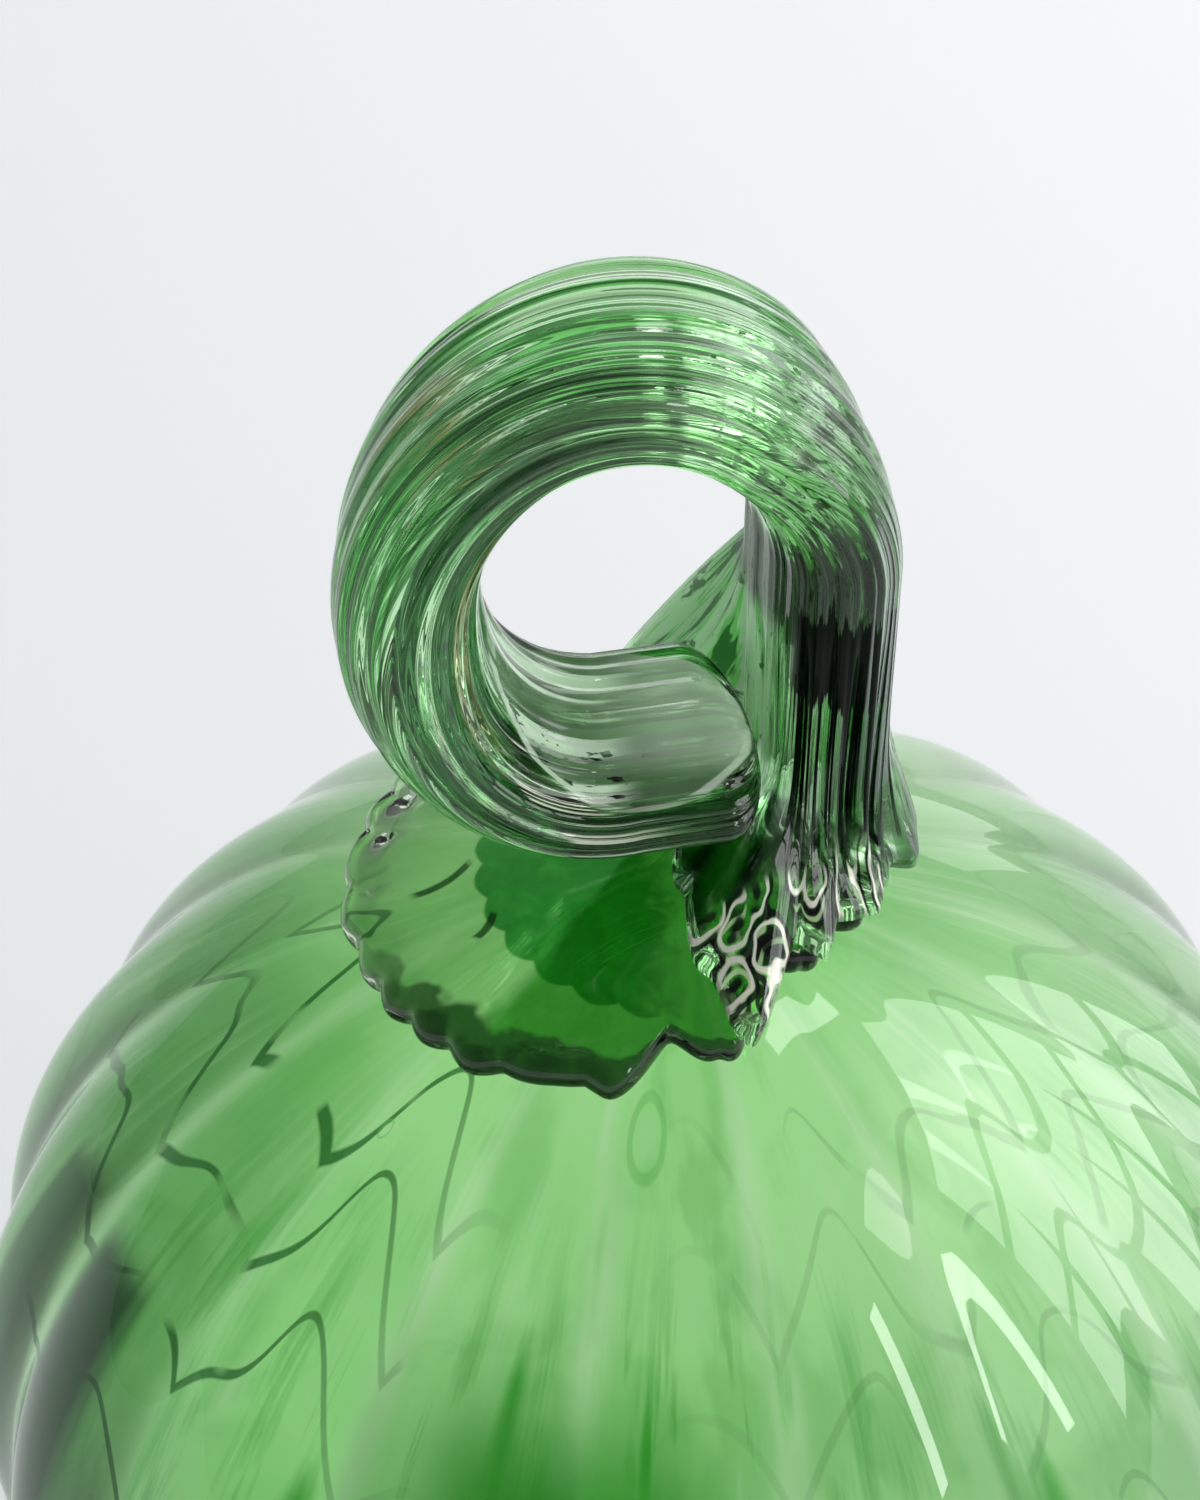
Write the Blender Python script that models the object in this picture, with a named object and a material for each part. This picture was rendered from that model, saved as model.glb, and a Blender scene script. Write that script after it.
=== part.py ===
"""Blown-glass pumpkin ornament with an applied, curled glass stem.

The body is a hollow, optic-ribbed bubble that stands on a ground ring under a pushed-up base.
Its open neck at the crown is closed by the stem foot, a pad of glass that spread into a
scalloped flange. The stem curl is drawn out of one bit: its root lies on the foot with claws
in front and a ribbed fan behind, its trunk rises, and it turns one full curl whose rounded tip
ends beside the trunk. The curl is the form that takes the most skill here.

Frame: metres, +Z up, the origin on the floor under the body's axis, the front towards -Y.
"""

import math

import bmesh
import bpy
from mathutils import Vector

MM = 0.001

# Driving sizes of the blown body
BODY_DIAMETER = 150 * MM
CROWN_RISE = 68 * MM
EQUATOR_HEIGHT = 50 * MM
WALL = 3.2 * MM
FLOOR = 6 * MM
RIB_COUNT = 18
RIB_DEPTH = 2.4 * MM
RIB_SOFTNESS = 0.25
GROUND_RING_DIAMETER = 82 * MM
GROUND_RING_WIDTH = 6 * MM
KICK_HEIGHT = 6 * MM
NECK_BORE = 24 * MM

# Driving sizes of the stem foot
SEAT_GAP = 0.3 * MM
FLANGE_THICKNESS = 2.6 * MM
FLANGE_LIFT = 0.8 * MM
FLANGE_LIFT_RUN = 9.75 * MM
FLANGE_REACH = 34 * MM
FLANGE_SHIFT = 1.5 * MM
RIM_ROLL = 0.8
RIM_START = 0.86
MOUND_HEIGHT = 3.8 * MM
MOUND_RADIUS = 14 * MM
FUSED_RADIUS = 19.5 * MM
SCALLOP_COUNT = 30
SCALLOP_DEPTH = 0.9 * MM
SCALLOP_DRIFT = 0.06

# Driving sizes of the stem curl
CURL_WIDTH = 36.9 * MM
CURL_HEIGHT = 38.4 * MM
CURL_CLEARANCE = 4.4 * MM
CURL_LEAN = 2.6 * MM
CURL_YAW = 4.0 * MM
CURL_CENTRE_X = -5.7 * MM
CURL_CENTRE_Y = 1.6 * MM
TRUNK_DEPTH = 22.5 * MM
TRUNK_THICKNESS = 11.8 * MM
TRUNK_TWIST = math.radians(-16)
TOP_DEPTH = 24.5 * MM
TOP_THICKNESS = 13.0 * MM
TAIL_DEPTH = 24.5 * MM
TAIL_THICKNESS = 7.0 * MM
TAIL_TWIST = math.radians(-8)
THINNING_START = 2.0
TIP_LENGTH = 5.0 * MM
TIP_GAP = 0.6 * MM
CURL_RIB_COUNT = 16
CURL_RIB_DEPTH = 0.35 * MM
ROOT_HEIGHT = 30 * MM
ROOT_REACH = 32 * MM
ROOT_EDGE = 1.0 * MM
ROOT_RIB_DEPTH = 2.0 * MM
ROOT_WEB = 0.1
SECTION_SQUARENESS = 2.4
LEAST_SECTION_SHARE = 0.5
CURL_TURN = math.radians(270)
UNTWIST_RATE = 1.6

# The flange's outline about the body's axis: degrees from +X, share of its reach
FLANGE_OUTLINE = (
    (-180, 1.0), (-155, 0.971), (-130, 0.935), (-112, 0.865), (-104, 0.865), (-91, 0.69),
    (-81, 0.74), (-62, 0.455), (-50, 0.54), (-36, 0.44), (-24, 0.53), (-12, 0.53), (3, 0.58),
    (40, 0.706), (80, 0.897), (120, 1.0),
)

# The root's outline about the trunk's axis, the claws and then the fan: degrees from +X, share
# of its reach
ROOT_OUTLINE = (
    (-102, 0.969), (-96, 0.606), (-88, 0.644), (-82, 0.506), (-68, 0.481), (-56, 0.394),
    (-46, 0.338), (-34, 0.381), (-11, 0.341), (16, 0.319), (40, 0.344), (55, 0.45),
    (74, 0.547), (98, 0.75), (117, 0.922), (132, 1.0), (146, 0.719), (162, 0.391),
    (186, 0.281), (209, 0.406), (230, 0.62), (246, 0.8),
)

# How sharply the root bends up from the foot into the trunk, at degrees from +X: the fan sweeps
# up straight, and the claws and the side under the tip lie flat before they rise
ROOT_FLARE = (
    (-102, 11), (-60, 8.0), (-20, 5.0), (30, 5.0), (74, 2.2), (98, 1.3), (132, 1.0), (146, 2.0),
    (160, 20), (226, 20), (244, 9.0),
)

# How far each side of the root swells out over the foot before it bends up: 1 where it doesn't
ROOT_SWELL = ((-124, 1.0), (-60, 1.0), (-20, 1.5), (30, 1.6), (74, 1.15), (98, 1.0), (215, 1.0))

# How finely the skins are stepped
OUTER_STEPS_PER_RIB = 6
INNER_STEPS_PER_RIB = 2
CROWN_STEPS = 13
FLANK_STEPS = 8
INNER_CROWN_STEPS = 9
INNER_FLANK_STEPS = 6
KICK_STEPS = 2
FOOT_COLUMNS = 90
FOOT_RINGS = 8
RIM_LEANS = (0.75, 0.25)
COLUMNS_PER_CURL_RIB = 3
ROOT_STEPS = 10
ROOT_CROWDING = 1.9
UNDERSIDE_STEPS = 6
ARC_STEPS = 30
TAIL_STEPS = 4
TIP_STEPS = 4
SHARP_ANGLE = math.radians(50)

# The glass of each piece, as red, green and blue
BODY_COLOUR = (0.07, 0.42, 0.06)
FOOT_COLOUR = (0.05, 0.30, 0.05)
CURL_COLOUR = (0.04, 0.28, 0.05)
GLASS_ROUGHNESS = 0.03
GLASS_IOR = 1.5
GLASS_TRANSMISSION = 0.85

# Sizes that follow from the driving ones
BODY_RADIUS = BODY_DIAMETER / 2
BODY_HEIGHT = EQUATOR_HEIGHT + CROWN_RISE
RING_OUTER = GROUND_RING_DIAMETER / 2
RING_INNER = RING_OUTER - GROUND_RING_WIDTH
ARC_RADIUS_X = CURL_WIDTH / 2
ARC_RADIUS_Z = CURL_HEIGHT / 2


def clear_scene():
    for thing in list(bpy.data.objects):
        bpy.data.objects.remove(thing, do_unlink=True)


def smooth_step(value):
    value = min(max(value, 0.0), 1.0)
    return value * value * (3 - 2 * value)


def blend(start, end, share):
    return start + (end - start) * share


def value_at(outline, angle):
    """The value of a closed outline at an angle, eased between its hand-chosen points."""
    degrees = math.degrees(angle)
    first = outline[0][0]
    turn = (degrees - first) % 360
    corners = [(point[0] - first, point[1]) for point in outline]
    corners.append((360, outline[0][1]))
    for (low, value_low), (high, value_high) in zip(corners, corners[1:]):
        if low <= turn <= high:
            return blend(value_low, value_high, smooth_step((turn - low) / (high - low)))
    return outline[0][1]


def make_glass(name, colour):
    material = bpy.data.materials.new(name)
    material.use_nodes = True
    shader = material.node_tree.nodes["Principled BSDF"]
    shader.inputs["Base Color"].default_value = (*colour, 1)
    shader.inputs["Roughness"].default_value = GLASS_ROUGHNESS
    shader.inputs["Metallic"].default_value = 0
    shader.inputs["IOR"].default_value = GLASS_IOR
    shader.inputs["Transmission Weight"].default_value = GLASS_TRANSMISSION
    return material


class Skin:
    """Builds one closed mesh out of rings of points."""

    def __init__(self):
        self.mesh = bmesh.new()

    def ring(self, points):
        return [self.mesh.verts.new(point) for point in points]

    def join(self, ring, other):
        """Joins two rings; where one has more points, each point of the other takes a fan."""
        if len(ring) < len(other):
            ring, other = other, ring
        ratio = len(ring) // len(other)
        for index, near in enumerate(other):
            following = other[(index + 1) % len(other)]
            start = index * ratio
            for step in range(ratio - 1):
                self.mesh.faces.new((ring[start + step], ring[start + step + 1], near))
            last = ring[start + ratio - 1]
            self.mesh.faces.new((last, ring[(start + ratio) % len(ring)], following, near))

    def close(self, ring, point):
        centre = self.mesh.verts.new(point)
        for index, near in enumerate(ring):
            self.mesh.faces.new((near, ring[(index + 1) % len(ring)], centre))

    def finish(self, name, colour):
        bmesh.ops.recalc_face_normals(self.mesh, faces=self.mesh.faces)
        bmesh.ops.triangulate(self.mesh, faces=self.mesh.faces)
        data = bpy.data.meshes.new(name)
        self.mesh.to_mesh(data)
        self.mesh.free()
        data.shade_smooth()
        data.set_sharp_from_angle(angle=SHARP_ANGLE)
        data.materials.append(make_glass(name + "_glass", colour))
        thing = bpy.data.objects.new(name, data)
        bpy.context.collection.objects.link(thing)
        return thing


# The blown body


def rib_valley(angle):
    """0 on a rib's crest and 1 in the valley between two ribs."""
    lobe = math.sqrt(math.sin(RIB_COUNT * angle / 2) ** 2 + RIB_SOFTNESS**2)
    highest = math.sqrt(1 + RIB_SOFTNESS**2)
    return (highest - lobe) / (highest - RIB_SOFTNESS)


def crown_profile(inset, steps):
    """Points from the neck's bore down to the equator, on the skin this far inside the crests."""
    radius = BODY_RADIUS - inset
    rise = CROWN_RISE - inset
    start = math.asin(NECK_BORE / 2 / radius)
    for step in range(steps + 1):
        angle = blend(start, math.pi / 2, step / steps)
        yield radius * math.sin(angle), EQUATOR_HEIGHT + rise * math.cos(angle)


def flank_profile(inset, floor, steps):
    """Points from under the equator down and in to the ground ring's outer edge."""
    reach = BODY_RADIUS - inset - RING_OUTER
    for step in range(1, steps + 1):
        angle = math.pi / 2 * step / steps
        height = EQUATOR_HEIGHT - (EQUATOR_HEIGHT - floor) * math.sin(angle)
        yield RING_OUTER + reach * math.cos(angle), height


def kick_height(radius):
    """The pushed-up base inside the ground ring."""
    return KICK_HEIGHT * (1 - (radius / RING_INNER) ** 2)


def rib_share(radius, height):
    """How much of the full rib depth shows here: none at the neck or on the ground ring."""
    if height >= EQUATOR_HEIGHT:
        return (radius / BODY_RADIUS) ** 2
    return smooth_step(height / EQUATOR_HEIGHT)


def body_point(radius, angle, height):
    return Vector((radius * math.cos(angle), radius * math.sin(angle), height))


def build_body():
    skin = Skin()
    outer_columns = RIB_COUNT * OUTER_STEPS_PER_RIB
    inner_columns = RIB_COUNT * INNER_STEPS_PER_RIB
    outer_angles = [2 * math.pi * index / outer_columns for index in range(outer_columns)]
    inner_angles = [2 * math.pi * index / inner_columns for index in range(inner_columns)]

    outer = []
    for radius, height in [*crown_profile(0, CROWN_STEPS), *flank_profile(0, 0, FLANK_STEPS)]:
        depth = RIB_DEPTH * rib_share(radius, height)
        points = [body_point(radius - depth * rib_valley(a), a, height) for a in outer_angles]
        outer.append(skin.ring(points))
    under = []
    for step in range(KICK_STEPS):
        radius = RING_INNER * (1 - step / KICK_STEPS)
        under.append(skin.ring([body_point(radius, a, kick_height(radius)) for a in inner_angles]))

    inner = []
    inner_crown = crown_profile(WALL, INNER_CROWN_STEPS)
    inner_flank = flank_profile(WALL, FLOOR, INNER_FLANK_STEPS)
    for radius, height in [*inner_crown, *inner_flank]:
        inner.append(skin.ring([body_point(radius, a, height) for a in inner_angles]))
    inner_floor = RING_INNER / 2
    floor_height = FLOOR + kick_height(inner_floor)
    inner.append(skin.ring([body_point(inner_floor, a, floor_height) for a in inner_angles]))

    for ring, following in zip(outer, outer[1:]):
        skin.join(ring, following)
    skin.join(outer[-1], under[0])
    for ring, following in zip(under, under[1:]):
        skin.join(ring, following)
    skin.close(under[-1], (0, 0, KICK_HEIGHT))
    skin.join(outer[0], inner[0])
    for ring, following in zip(inner, inner[1:]):
        skin.join(ring, following)
    skin.close(inner[-1], (0, 0, KICK_HEIGHT + FLOOR))
    return skin.finish("glass_body", BODY_COLOUR)


# The stem foot


def crown_height(radius):
    """The height of the rib crests over this radius, on which the foot lies."""
    return EQUATOR_HEIGHT + CROWN_RISE * math.sqrt(max(0, 1 - (radius / BODY_RADIUS) ** 2))


def flange_lift(radius):
    """How far the free flange lifts off the crown, past the fused part."""
    return FLANGE_LIFT * smooth_step((radius - FUSED_RADIUS) / FLANGE_LIFT_RUN)


def foot_underside(radius):
    return crown_height(radius) + SEAT_GAP + flange_lift(radius)


def rolled_underside(radius, share):
    """The underside with its rim, which rolls back down towards the crown."""
    roll = RIM_ROLL * smooth_step((share - RIM_START) / (1 - RIM_START))
    return foot_underside(radius) - flange_lift(radius) * roll


def foot_top(radius, share=0):
    mound = MOUND_HEIGHT * math.exp(-((radius / MOUND_RADIUS) ** 2))
    return foot_underside(radius) + FLANGE_THICKNESS + mound


def flange_reach(angle):
    drift = SCALLOP_DRIFT * math.sin(5 * angle)
    scallop = SCALLOP_DEPTH * (1 - abs(math.sin(SCALLOP_COUNT * (angle + drift) / 2)))
    shift = FLANGE_SHIFT * math.cos(angle)
    return FLANGE_REACH * value_at(FLANGE_OUTLINE, angle) + shift - scallop


def build_foot():
    skin = Skin()
    angles = [2 * math.pi * index / FOOT_COLUMNS for index in range(FOOT_COLUMNS)]
    reaches = [flange_reach(angle) for angle in angles]
    edge = FLANGE_THICKNESS / 2

    def ring(share, surface):
        points = []
        for angle, reach in zip(angles, reaches):
            radius = (reach - edge) * share
            points.append(body_point(radius, angle, surface(radius, share)))
        return skin.ring(points)

    top = [ring(step / FOOT_RINGS, foot_top) for step in range(1, FOOT_RINGS + 1)]
    rim = []
    for lean in RIM_LEANS:
        points = []
        for angle, reach in zip(angles, reaches):
            outwards = edge * math.sqrt(1 - (2 * lean - 1) ** 2)
            height = blend(rolled_underside(reach - edge, 1), foot_top(reach - edge), lean)
            points.append(body_point(reach - edge + outwards, angle, height))
        rim.append(skin.ring(points))
    bottom = [ring(step / FOOT_RINGS, rolled_underside) for step in range(FOOT_RINGS, 0, -2)]

    skin.close(top[0], (0, 0, foot_top(0)))
    loops = [*top, *rim, *bottom]
    for ring, following in zip(loops, loops[1:]):
        skin.join(ring, following)
    skin.close(bottom[-1], (0, 0, foot_underside(0)))
    return skin.finish("stem_foot", FOOT_COLOUR)


# The stem curl

CURL_COLUMNS = CURL_RIB_COUNT * COLUMNS_PER_CURL_RIB
COLUMN_ANGLES = [2 * math.pi * index / CURL_COLUMNS for index in range(CURL_COLUMNS)]


def groove_share(angle):
    """0 on the ridge of one of the curl's ribs and 1 in the groove beside it."""
    return 1 - abs(math.sin(CURL_RIB_COUNT * angle / 2))


def section_axes(along, twist):
    """The wide and the thin direction of a section of the curl that is square to its path."""
    back = Vector((0, 1, 0))
    back = (back - along * back.dot(along)).normalized()
    outwards = back.cross(along)
    wide = back * math.cos(twist) + outwards * math.sin(twist)
    return wide, wide.cross(along)


def curl_section(centre, along, depth, thickness, twist):
    """One ribbed section of the curl: wide in depth, thin across."""
    wide, thin = section_axes(along, twist)
    points = []
    for angle in COLUMN_ANGLES:
        across = math.copysign(abs(math.cos(angle)) ** (2 / SECTION_SQUARENESS), math.cos(angle))
        outer = math.copysign(abs(math.sin(angle)) ** (2 / SECTION_SQUARENESS), math.sin(angle))
        groove = CURL_RIB_DEPTH * groove_share(angle)
        half_depth = max(depth / 2 - groove, depth / 2 * LEAST_SECTION_SHARE)
        half_thickness = max(thickness / 2 - groove, thickness / 2 * LEAST_SECTION_SHARE)
        points.append(centre + wide * across * half_depth + thin * outer * half_thickness)
    return points


def curl_centre_height():
    """The curl's lowest outer face clears the foot's mound by the named clearance."""
    return foot_top(0) + CURL_CLEARANCE + TAIL_THICKNESS / 2 + ARC_RADIUS_Z


def arc_point(angle):
    """A point of the curl's tilted oval: 0 at the trunk, a quarter turn at the top."""
    return Vector((
        CURL_CENTRE_X + ARC_RADIUS_X * math.cos(angle),
        CURL_CENTRE_Y + CURL_YAW * math.cos(angle) + CURL_LEAN * math.sin(angle),
        curl_centre_height() + ARC_RADIUS_Z * math.sin(angle),
    ))


def arc_heading(angle):
    return Vector((
        -ARC_RADIUS_X * math.sin(angle),
        -CURL_YAW * math.sin(angle) + CURL_LEAN * math.cos(angle),
        ARC_RADIUS_Z * math.cos(angle),
    )).normalized()


def root_rings():
    """The root from the foot up to the trunk: each column leans out to its claw or fan.

    The grooves between the ribs fade out at its foot, where a thin web joins the claws.
    """
    axis = arc_point(0)
    top = curl_centre_height() - BODY_HEIGHT
    trunk_height = BODY_HEIGHT + min(ROOT_HEIGHT, top)
    centre = Vector((axis.x, axis.y, trunk_height))
    trunk = curl_section(centre, Vector((0, 0, 1)), TRUNK_DEPTH, TRUNK_THICKNESS, TRUNK_TWIST)
    rings = []
    for step in range(ROOT_STEPS + 1):
        share = (step / ROOT_STEPS) ** ROOT_CROWDING
        points = []
        for point, angle in zip(trunk, COLUMN_ANGLES):
            spoke = Vector((point.x - axis.x, point.y - axis.y, 0))
            heading = math.atan2(spoke.y, spoke.x)
            reach = max(ROOT_REACH * value_at(ROOT_OUTLINE, heading), spoke.length)
            flare = value_at(ROOT_FLARE, heading)
            swell = value_at(ROOT_SWELL, heading)
            distance = blend(spoke.length, reach, (1 - share**swell) ** flare)
            web = smooth_step(share / ROOT_WEB)
            distance -= ROOT_RIB_DEPTH * groove_share(angle) * (1 - share) * web
            place = axis + spoke.normalized() * distance
            seat = foot_top(math.hypot(place.x, place.y)) + SEAT_GAP
            height = blend(seat + ROOT_EDGE, trunk_height, share)
            points.append(Vector((place.x, place.y, height)))
        rings.append(points)
    return rings


def root_underside(edge):
    """Rings that close the root's flat underside over the foot, from its edge inwards."""
    axis = arc_point(0)
    rings = []
    for step in range(UNDERSIDE_STEPS, 0, -1):
        share = step / UNDERSIDE_STEPS
        points = []
        for point in edge:
            place = Vector((blend(axis.x, point.x, share), blend(axis.y, point.y, share), 0))
            place.z = foot_top(math.hypot(place.x, place.y)) + SEAT_GAP
            points.append(place)
        rings.append(points)
    return rings


def section_sizes(angle):
    """Depth, thickness and twist of the rod as it turns from the trunk to the tail."""
    turn = angle / (math.pi / 2)
    if turn <= 1:
        share = smooth_step(turn)
        depth = blend(TRUNK_DEPTH, TOP_DEPTH, share)
        thickness = blend(TRUNK_THICKNESS, TOP_THICKNESS, share)
    else:
        share = smooth_step(turn - THINNING_START)
        depth = blend(TOP_DEPTH, TAIL_DEPTH, share)
        thickness = blend(TOP_THICKNESS, TAIL_THICKNESS, share)
    twist = TRUNK_TWIST * (1 - smooth_step(turn * UNTWIST_RATE))
    return depth, thickness, twist + TAIL_TWIST * smooth_step(turn - THINNING_START)


def tail_run(root, tail_start, heading):
    """How far the tail runs before its tip stops, the named gap short of the root and trunk."""
    wide, thin = section_axes(heading, TAIL_TWIST)
    run = (arc_point(0) - tail_start).dot(heading)
    for points in root:
        for point in points:
            offset = point - tail_start
            across = abs(offset.dot(wide)) / (TAIL_DEPTH / 2)
            if across >= 1:
                continue
            swell = (1 - across**SECTION_SQUARENESS) ** (1 / SECTION_SQUARENESS)
            if abs(offset.dot(thin)) < TAIL_THICKNESS / 2 * swell + TIP_GAP:
                rounding = TIP_LENGTH * (1 - math.sqrt(1 - across**2))
                run = min(run, offset.dot(heading) + rounding)
    return run - TIP_GAP


def build_curl():
    skin = Skin()
    root = root_rings()
    loops = [*reversed(root_underside(root[0])), *root]

    trunk_end = arc_point(0)
    trunk_start = root[-1][0].z
    if trunk_end.z - trunk_start > SEAT_GAP:
        upright = Vector((0, 0, 1))
        middle = Vector((trunk_end.x, trunk_end.y, (trunk_start + trunk_end.z) / 2))
        loops.append(curl_section(middle, upright, TRUNK_DEPTH, TRUNK_THICKNESS, TRUNK_TWIST))
    for step in range(ARC_STEPS + 1):
        angle = CURL_TURN * step / ARC_STEPS
        sizes = section_sizes(angle)
        loops.append(curl_section(arc_point(angle), arc_heading(angle), *sizes))

    tail_start = arc_point(CURL_TURN)
    heading = arc_heading(CURL_TURN)
    tail_length = tail_run(root, tail_start, heading)
    straight = tail_length - TIP_LENGTH
    for step in range(1, TAIL_STEPS + 1):
        centre = tail_start + heading * straight * step / TAIL_STEPS
        loops.append(curl_section(centre, heading, TAIL_DEPTH, TAIL_THICKNESS, TAIL_TWIST))
    for step in range(1, TIP_STEPS):
        angle = math.pi / 2 * step / TIP_STEPS
        centre = tail_start + heading * (straight + TIP_LENGTH * math.sin(angle))
        depth = TAIL_DEPTH * math.cos(angle)
        thickness = TAIL_THICKNESS * math.cos(angle)
        loops.append(curl_section(centre, heading, depth, thickness, TAIL_TWIST))

    rings = [skin.ring(points) for points in loops]
    for ring, following in zip(rings, rings[1:]):
        skin.join(ring, following)
    axis = arc_point(0)
    skin.close(rings[0], (axis.x, axis.y, foot_top(math.hypot(axis.x, axis.y)) + SEAT_GAP))
    skin.close(rings[-1], tail_start + heading * tail_length)
    return skin.finish("stem_curl", CURL_COLOUR)


clear_scene()
build_body()
build_foot()
build_curl()
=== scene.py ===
"""Looks of the blown-glass pumpkin: fine glass skins, their materials, soft studio light and camera.

Frame: metres, +Z up, the origin on the floor under the body's axis, the front towards -Y. Each
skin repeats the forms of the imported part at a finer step.
"""

import math

import bmesh
import bpy
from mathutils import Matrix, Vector


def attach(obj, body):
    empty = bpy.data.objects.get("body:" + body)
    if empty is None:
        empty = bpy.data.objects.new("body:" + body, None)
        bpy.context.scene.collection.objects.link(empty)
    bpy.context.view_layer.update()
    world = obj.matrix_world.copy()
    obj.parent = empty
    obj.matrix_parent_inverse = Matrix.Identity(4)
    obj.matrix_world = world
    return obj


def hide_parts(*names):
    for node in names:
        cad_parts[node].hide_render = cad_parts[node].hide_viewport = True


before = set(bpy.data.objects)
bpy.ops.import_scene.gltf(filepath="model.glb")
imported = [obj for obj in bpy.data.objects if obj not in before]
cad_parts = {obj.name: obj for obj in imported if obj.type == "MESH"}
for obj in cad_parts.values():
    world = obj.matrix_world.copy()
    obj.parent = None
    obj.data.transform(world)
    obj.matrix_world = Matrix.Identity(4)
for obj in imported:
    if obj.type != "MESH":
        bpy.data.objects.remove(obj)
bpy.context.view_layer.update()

MM = 0.001

# Sizes of the blown body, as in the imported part
BODY_DIAMETER = 150 * MM
CROWN_RISE = 68 * MM
EQUATOR_HEIGHT = 50 * MM
WALL = 3.2 * MM
FLOOR = 6 * MM
RIB_COUNT = 18
RIB_DEPTH = 2.4 * MM
RIB_SOFTNESS = 0.25
GROUND_RING_DIAMETER = 82 * MM
GROUND_RING_WIDTH = 6 * MM
KICK_HEIGHT = 6 * MM

# Sizes of the stem foot
SEAT_GAP = 0.3 * MM
FLANGE_THICKNESS = 2.6 * MM
FLANGE_LIFT = 0.8 * MM
FLANGE_LIFT_RUN = 9.75 * MM
FLANGE_REACH = 34 * MM
FLANGE_SHIFT = 1.5 * MM
RIM_ROLL = 0.8
RIM_START = 0.86
MOUND_HEIGHT = 3.8 * MM
MOUND_RADIUS = 14 * MM
FUSED_RADIUS = 19.5 * MM
SCALLOP_COUNT = 30
SCALLOP_DEPTH = 0.9 * MM
SCALLOP_DRIFT = 0.06

# Sizes of the stem curl
CURL_WIDTH = 36.9 * MM
CURL_HEIGHT = 38.4 * MM
CURL_CLEARANCE = 4.4 * MM
CURL_LEAN = 2.6 * MM
CURL_YAW = 4.0 * MM
CURL_CENTRE_X = -5.7 * MM
CURL_CENTRE_Y = 1.6 * MM
TRUNK_DEPTH = 22.5 * MM
TRUNK_THICKNESS = 11.8 * MM
TRUNK_TWIST = math.radians(-16)
TOP_DEPTH = 24.5 * MM
TOP_THICKNESS = 13.0 * MM
TAIL_DEPTH = 24.5 * MM
TAIL_THICKNESS = 7.0 * MM
TAIL_TWIST = math.radians(-8)
THINNING_START = 2.0
TIP_LENGTH = 5.0 * MM
TIP_GAP = 0.6 * MM
CURL_RIB_COUNT = 16
CURL_RIB_DEPTH = 0.35 * MM
ROOT_HEIGHT = 30 * MM
ROOT_REACH = 32 * MM
ROOT_EDGE = 1.0 * MM
ROOT_RIB_DEPTH = 2.0 * MM
ROOT_WEB = 0.1
SECTION_SQUARENESS = 2.4
LEAST_SECTION_SHARE = 0.5
CURL_TURN = math.radians(270)
UNTWIST_RATE = 1.6

# The flange's outline about the body's axis: degrees from +X, share of its reach
FLANGE_OUTLINE = (
    (-180, 1.0), (-155, 0.971), (-130, 0.935), (-112, 0.865), (-104, 0.865), (-91, 0.69),
    (-81, 0.74), (-62, 0.455), (-50, 0.54), (-36, 0.44), (-24, 0.53), (-12, 0.53), (3, 0.58),
    (40, 0.706), (80, 0.897), (120, 1.0),
)

# The root's outline about the trunk's axis, the claws and then the fan
ROOT_OUTLINE = (
    (-102, 0.969), (-96, 0.606), (-88, 0.644), (-82, 0.506), (-68, 0.481), (-56, 0.394),
    (-46, 0.338), (-34, 0.381), (-11, 0.341), (16, 0.319), (40, 0.344), (55, 0.45),
    (74, 0.547), (98, 0.75), (117, 0.922), (132, 1.0), (146, 0.719), (162, 0.391),
    (186, 0.281), (209, 0.406), (230, 0.62), (246, 0.8),
)

# How sharply each side of the root bends up from the foot into the trunk
ROOT_FLARE = (
    (-102, 11), (-60, 8.0), (-20, 5.0), (30, 5.0), (74, 2.2), (98, 1.3), (132, 1.0), (146, 2.0),
    (160, 20), (226, 20), (244, 9.0),
)

# How far each side of the root swells out over the foot before it bends up: 1 where it doesn't
ROOT_SWELL = ((-124, 1.0), (-60, 1.0), (-20, 1.5), (30, 1.6), (74, 1.15), (98, 1.0), (215, 1.0))

# How uneven hot work leaves the ribs: always inwards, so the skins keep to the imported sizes
RIB_UNEVENNESS = 0.2
FINE_RIB_COUNT = 52
FINE_RIB_DEPTH = 0.09 * MM
CURL_INSET = 0.02 * MM

# How finely the skins are stepped
BODY_COLUMNS = RIB_COUNT * 24
CROWN_STEPS = 90
FLANK_STEPS = 50
INNER_CROWN_STEPS = 34
INNER_FLANK_STEPS = 20
KICK_STEPS = 8
FOOT_COLUMNS = 360
FOOT_RINGS = 56
RIM_STEPS = 10
CURL_COLUMNS = 560
GRAIN_RADIUS = 10 * MM
ROOT_STEPS = 56
ROOT_CROWDING = 1.5
UNDERSIDE_STEPS = 6
TRUNK_STEPS = 5
ARC_STEPS = 110
TAIL_STEPS = 10
TIP_STEPS = 12

# Sizes that follow
BODY_RADIUS = BODY_DIAMETER / 2
BODY_HEIGHT = EQUATOR_HEIGHT + CROWN_RISE
RING_OUTER = GROUND_RING_DIAMETER / 2
RING_INNER = RING_OUTER - GROUND_RING_WIDTH
ARC_RADIUS_X = CURL_WIDTH / 2
ARC_RADIUS_Z = CURL_HEIGHT / 2


def smooth_step(value):
    value = min(max(value, 0.0), 1.0)
    return value * value * (3 - 2 * value)


def blend(start, end, share):
    return start + (end - start) * share


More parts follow.
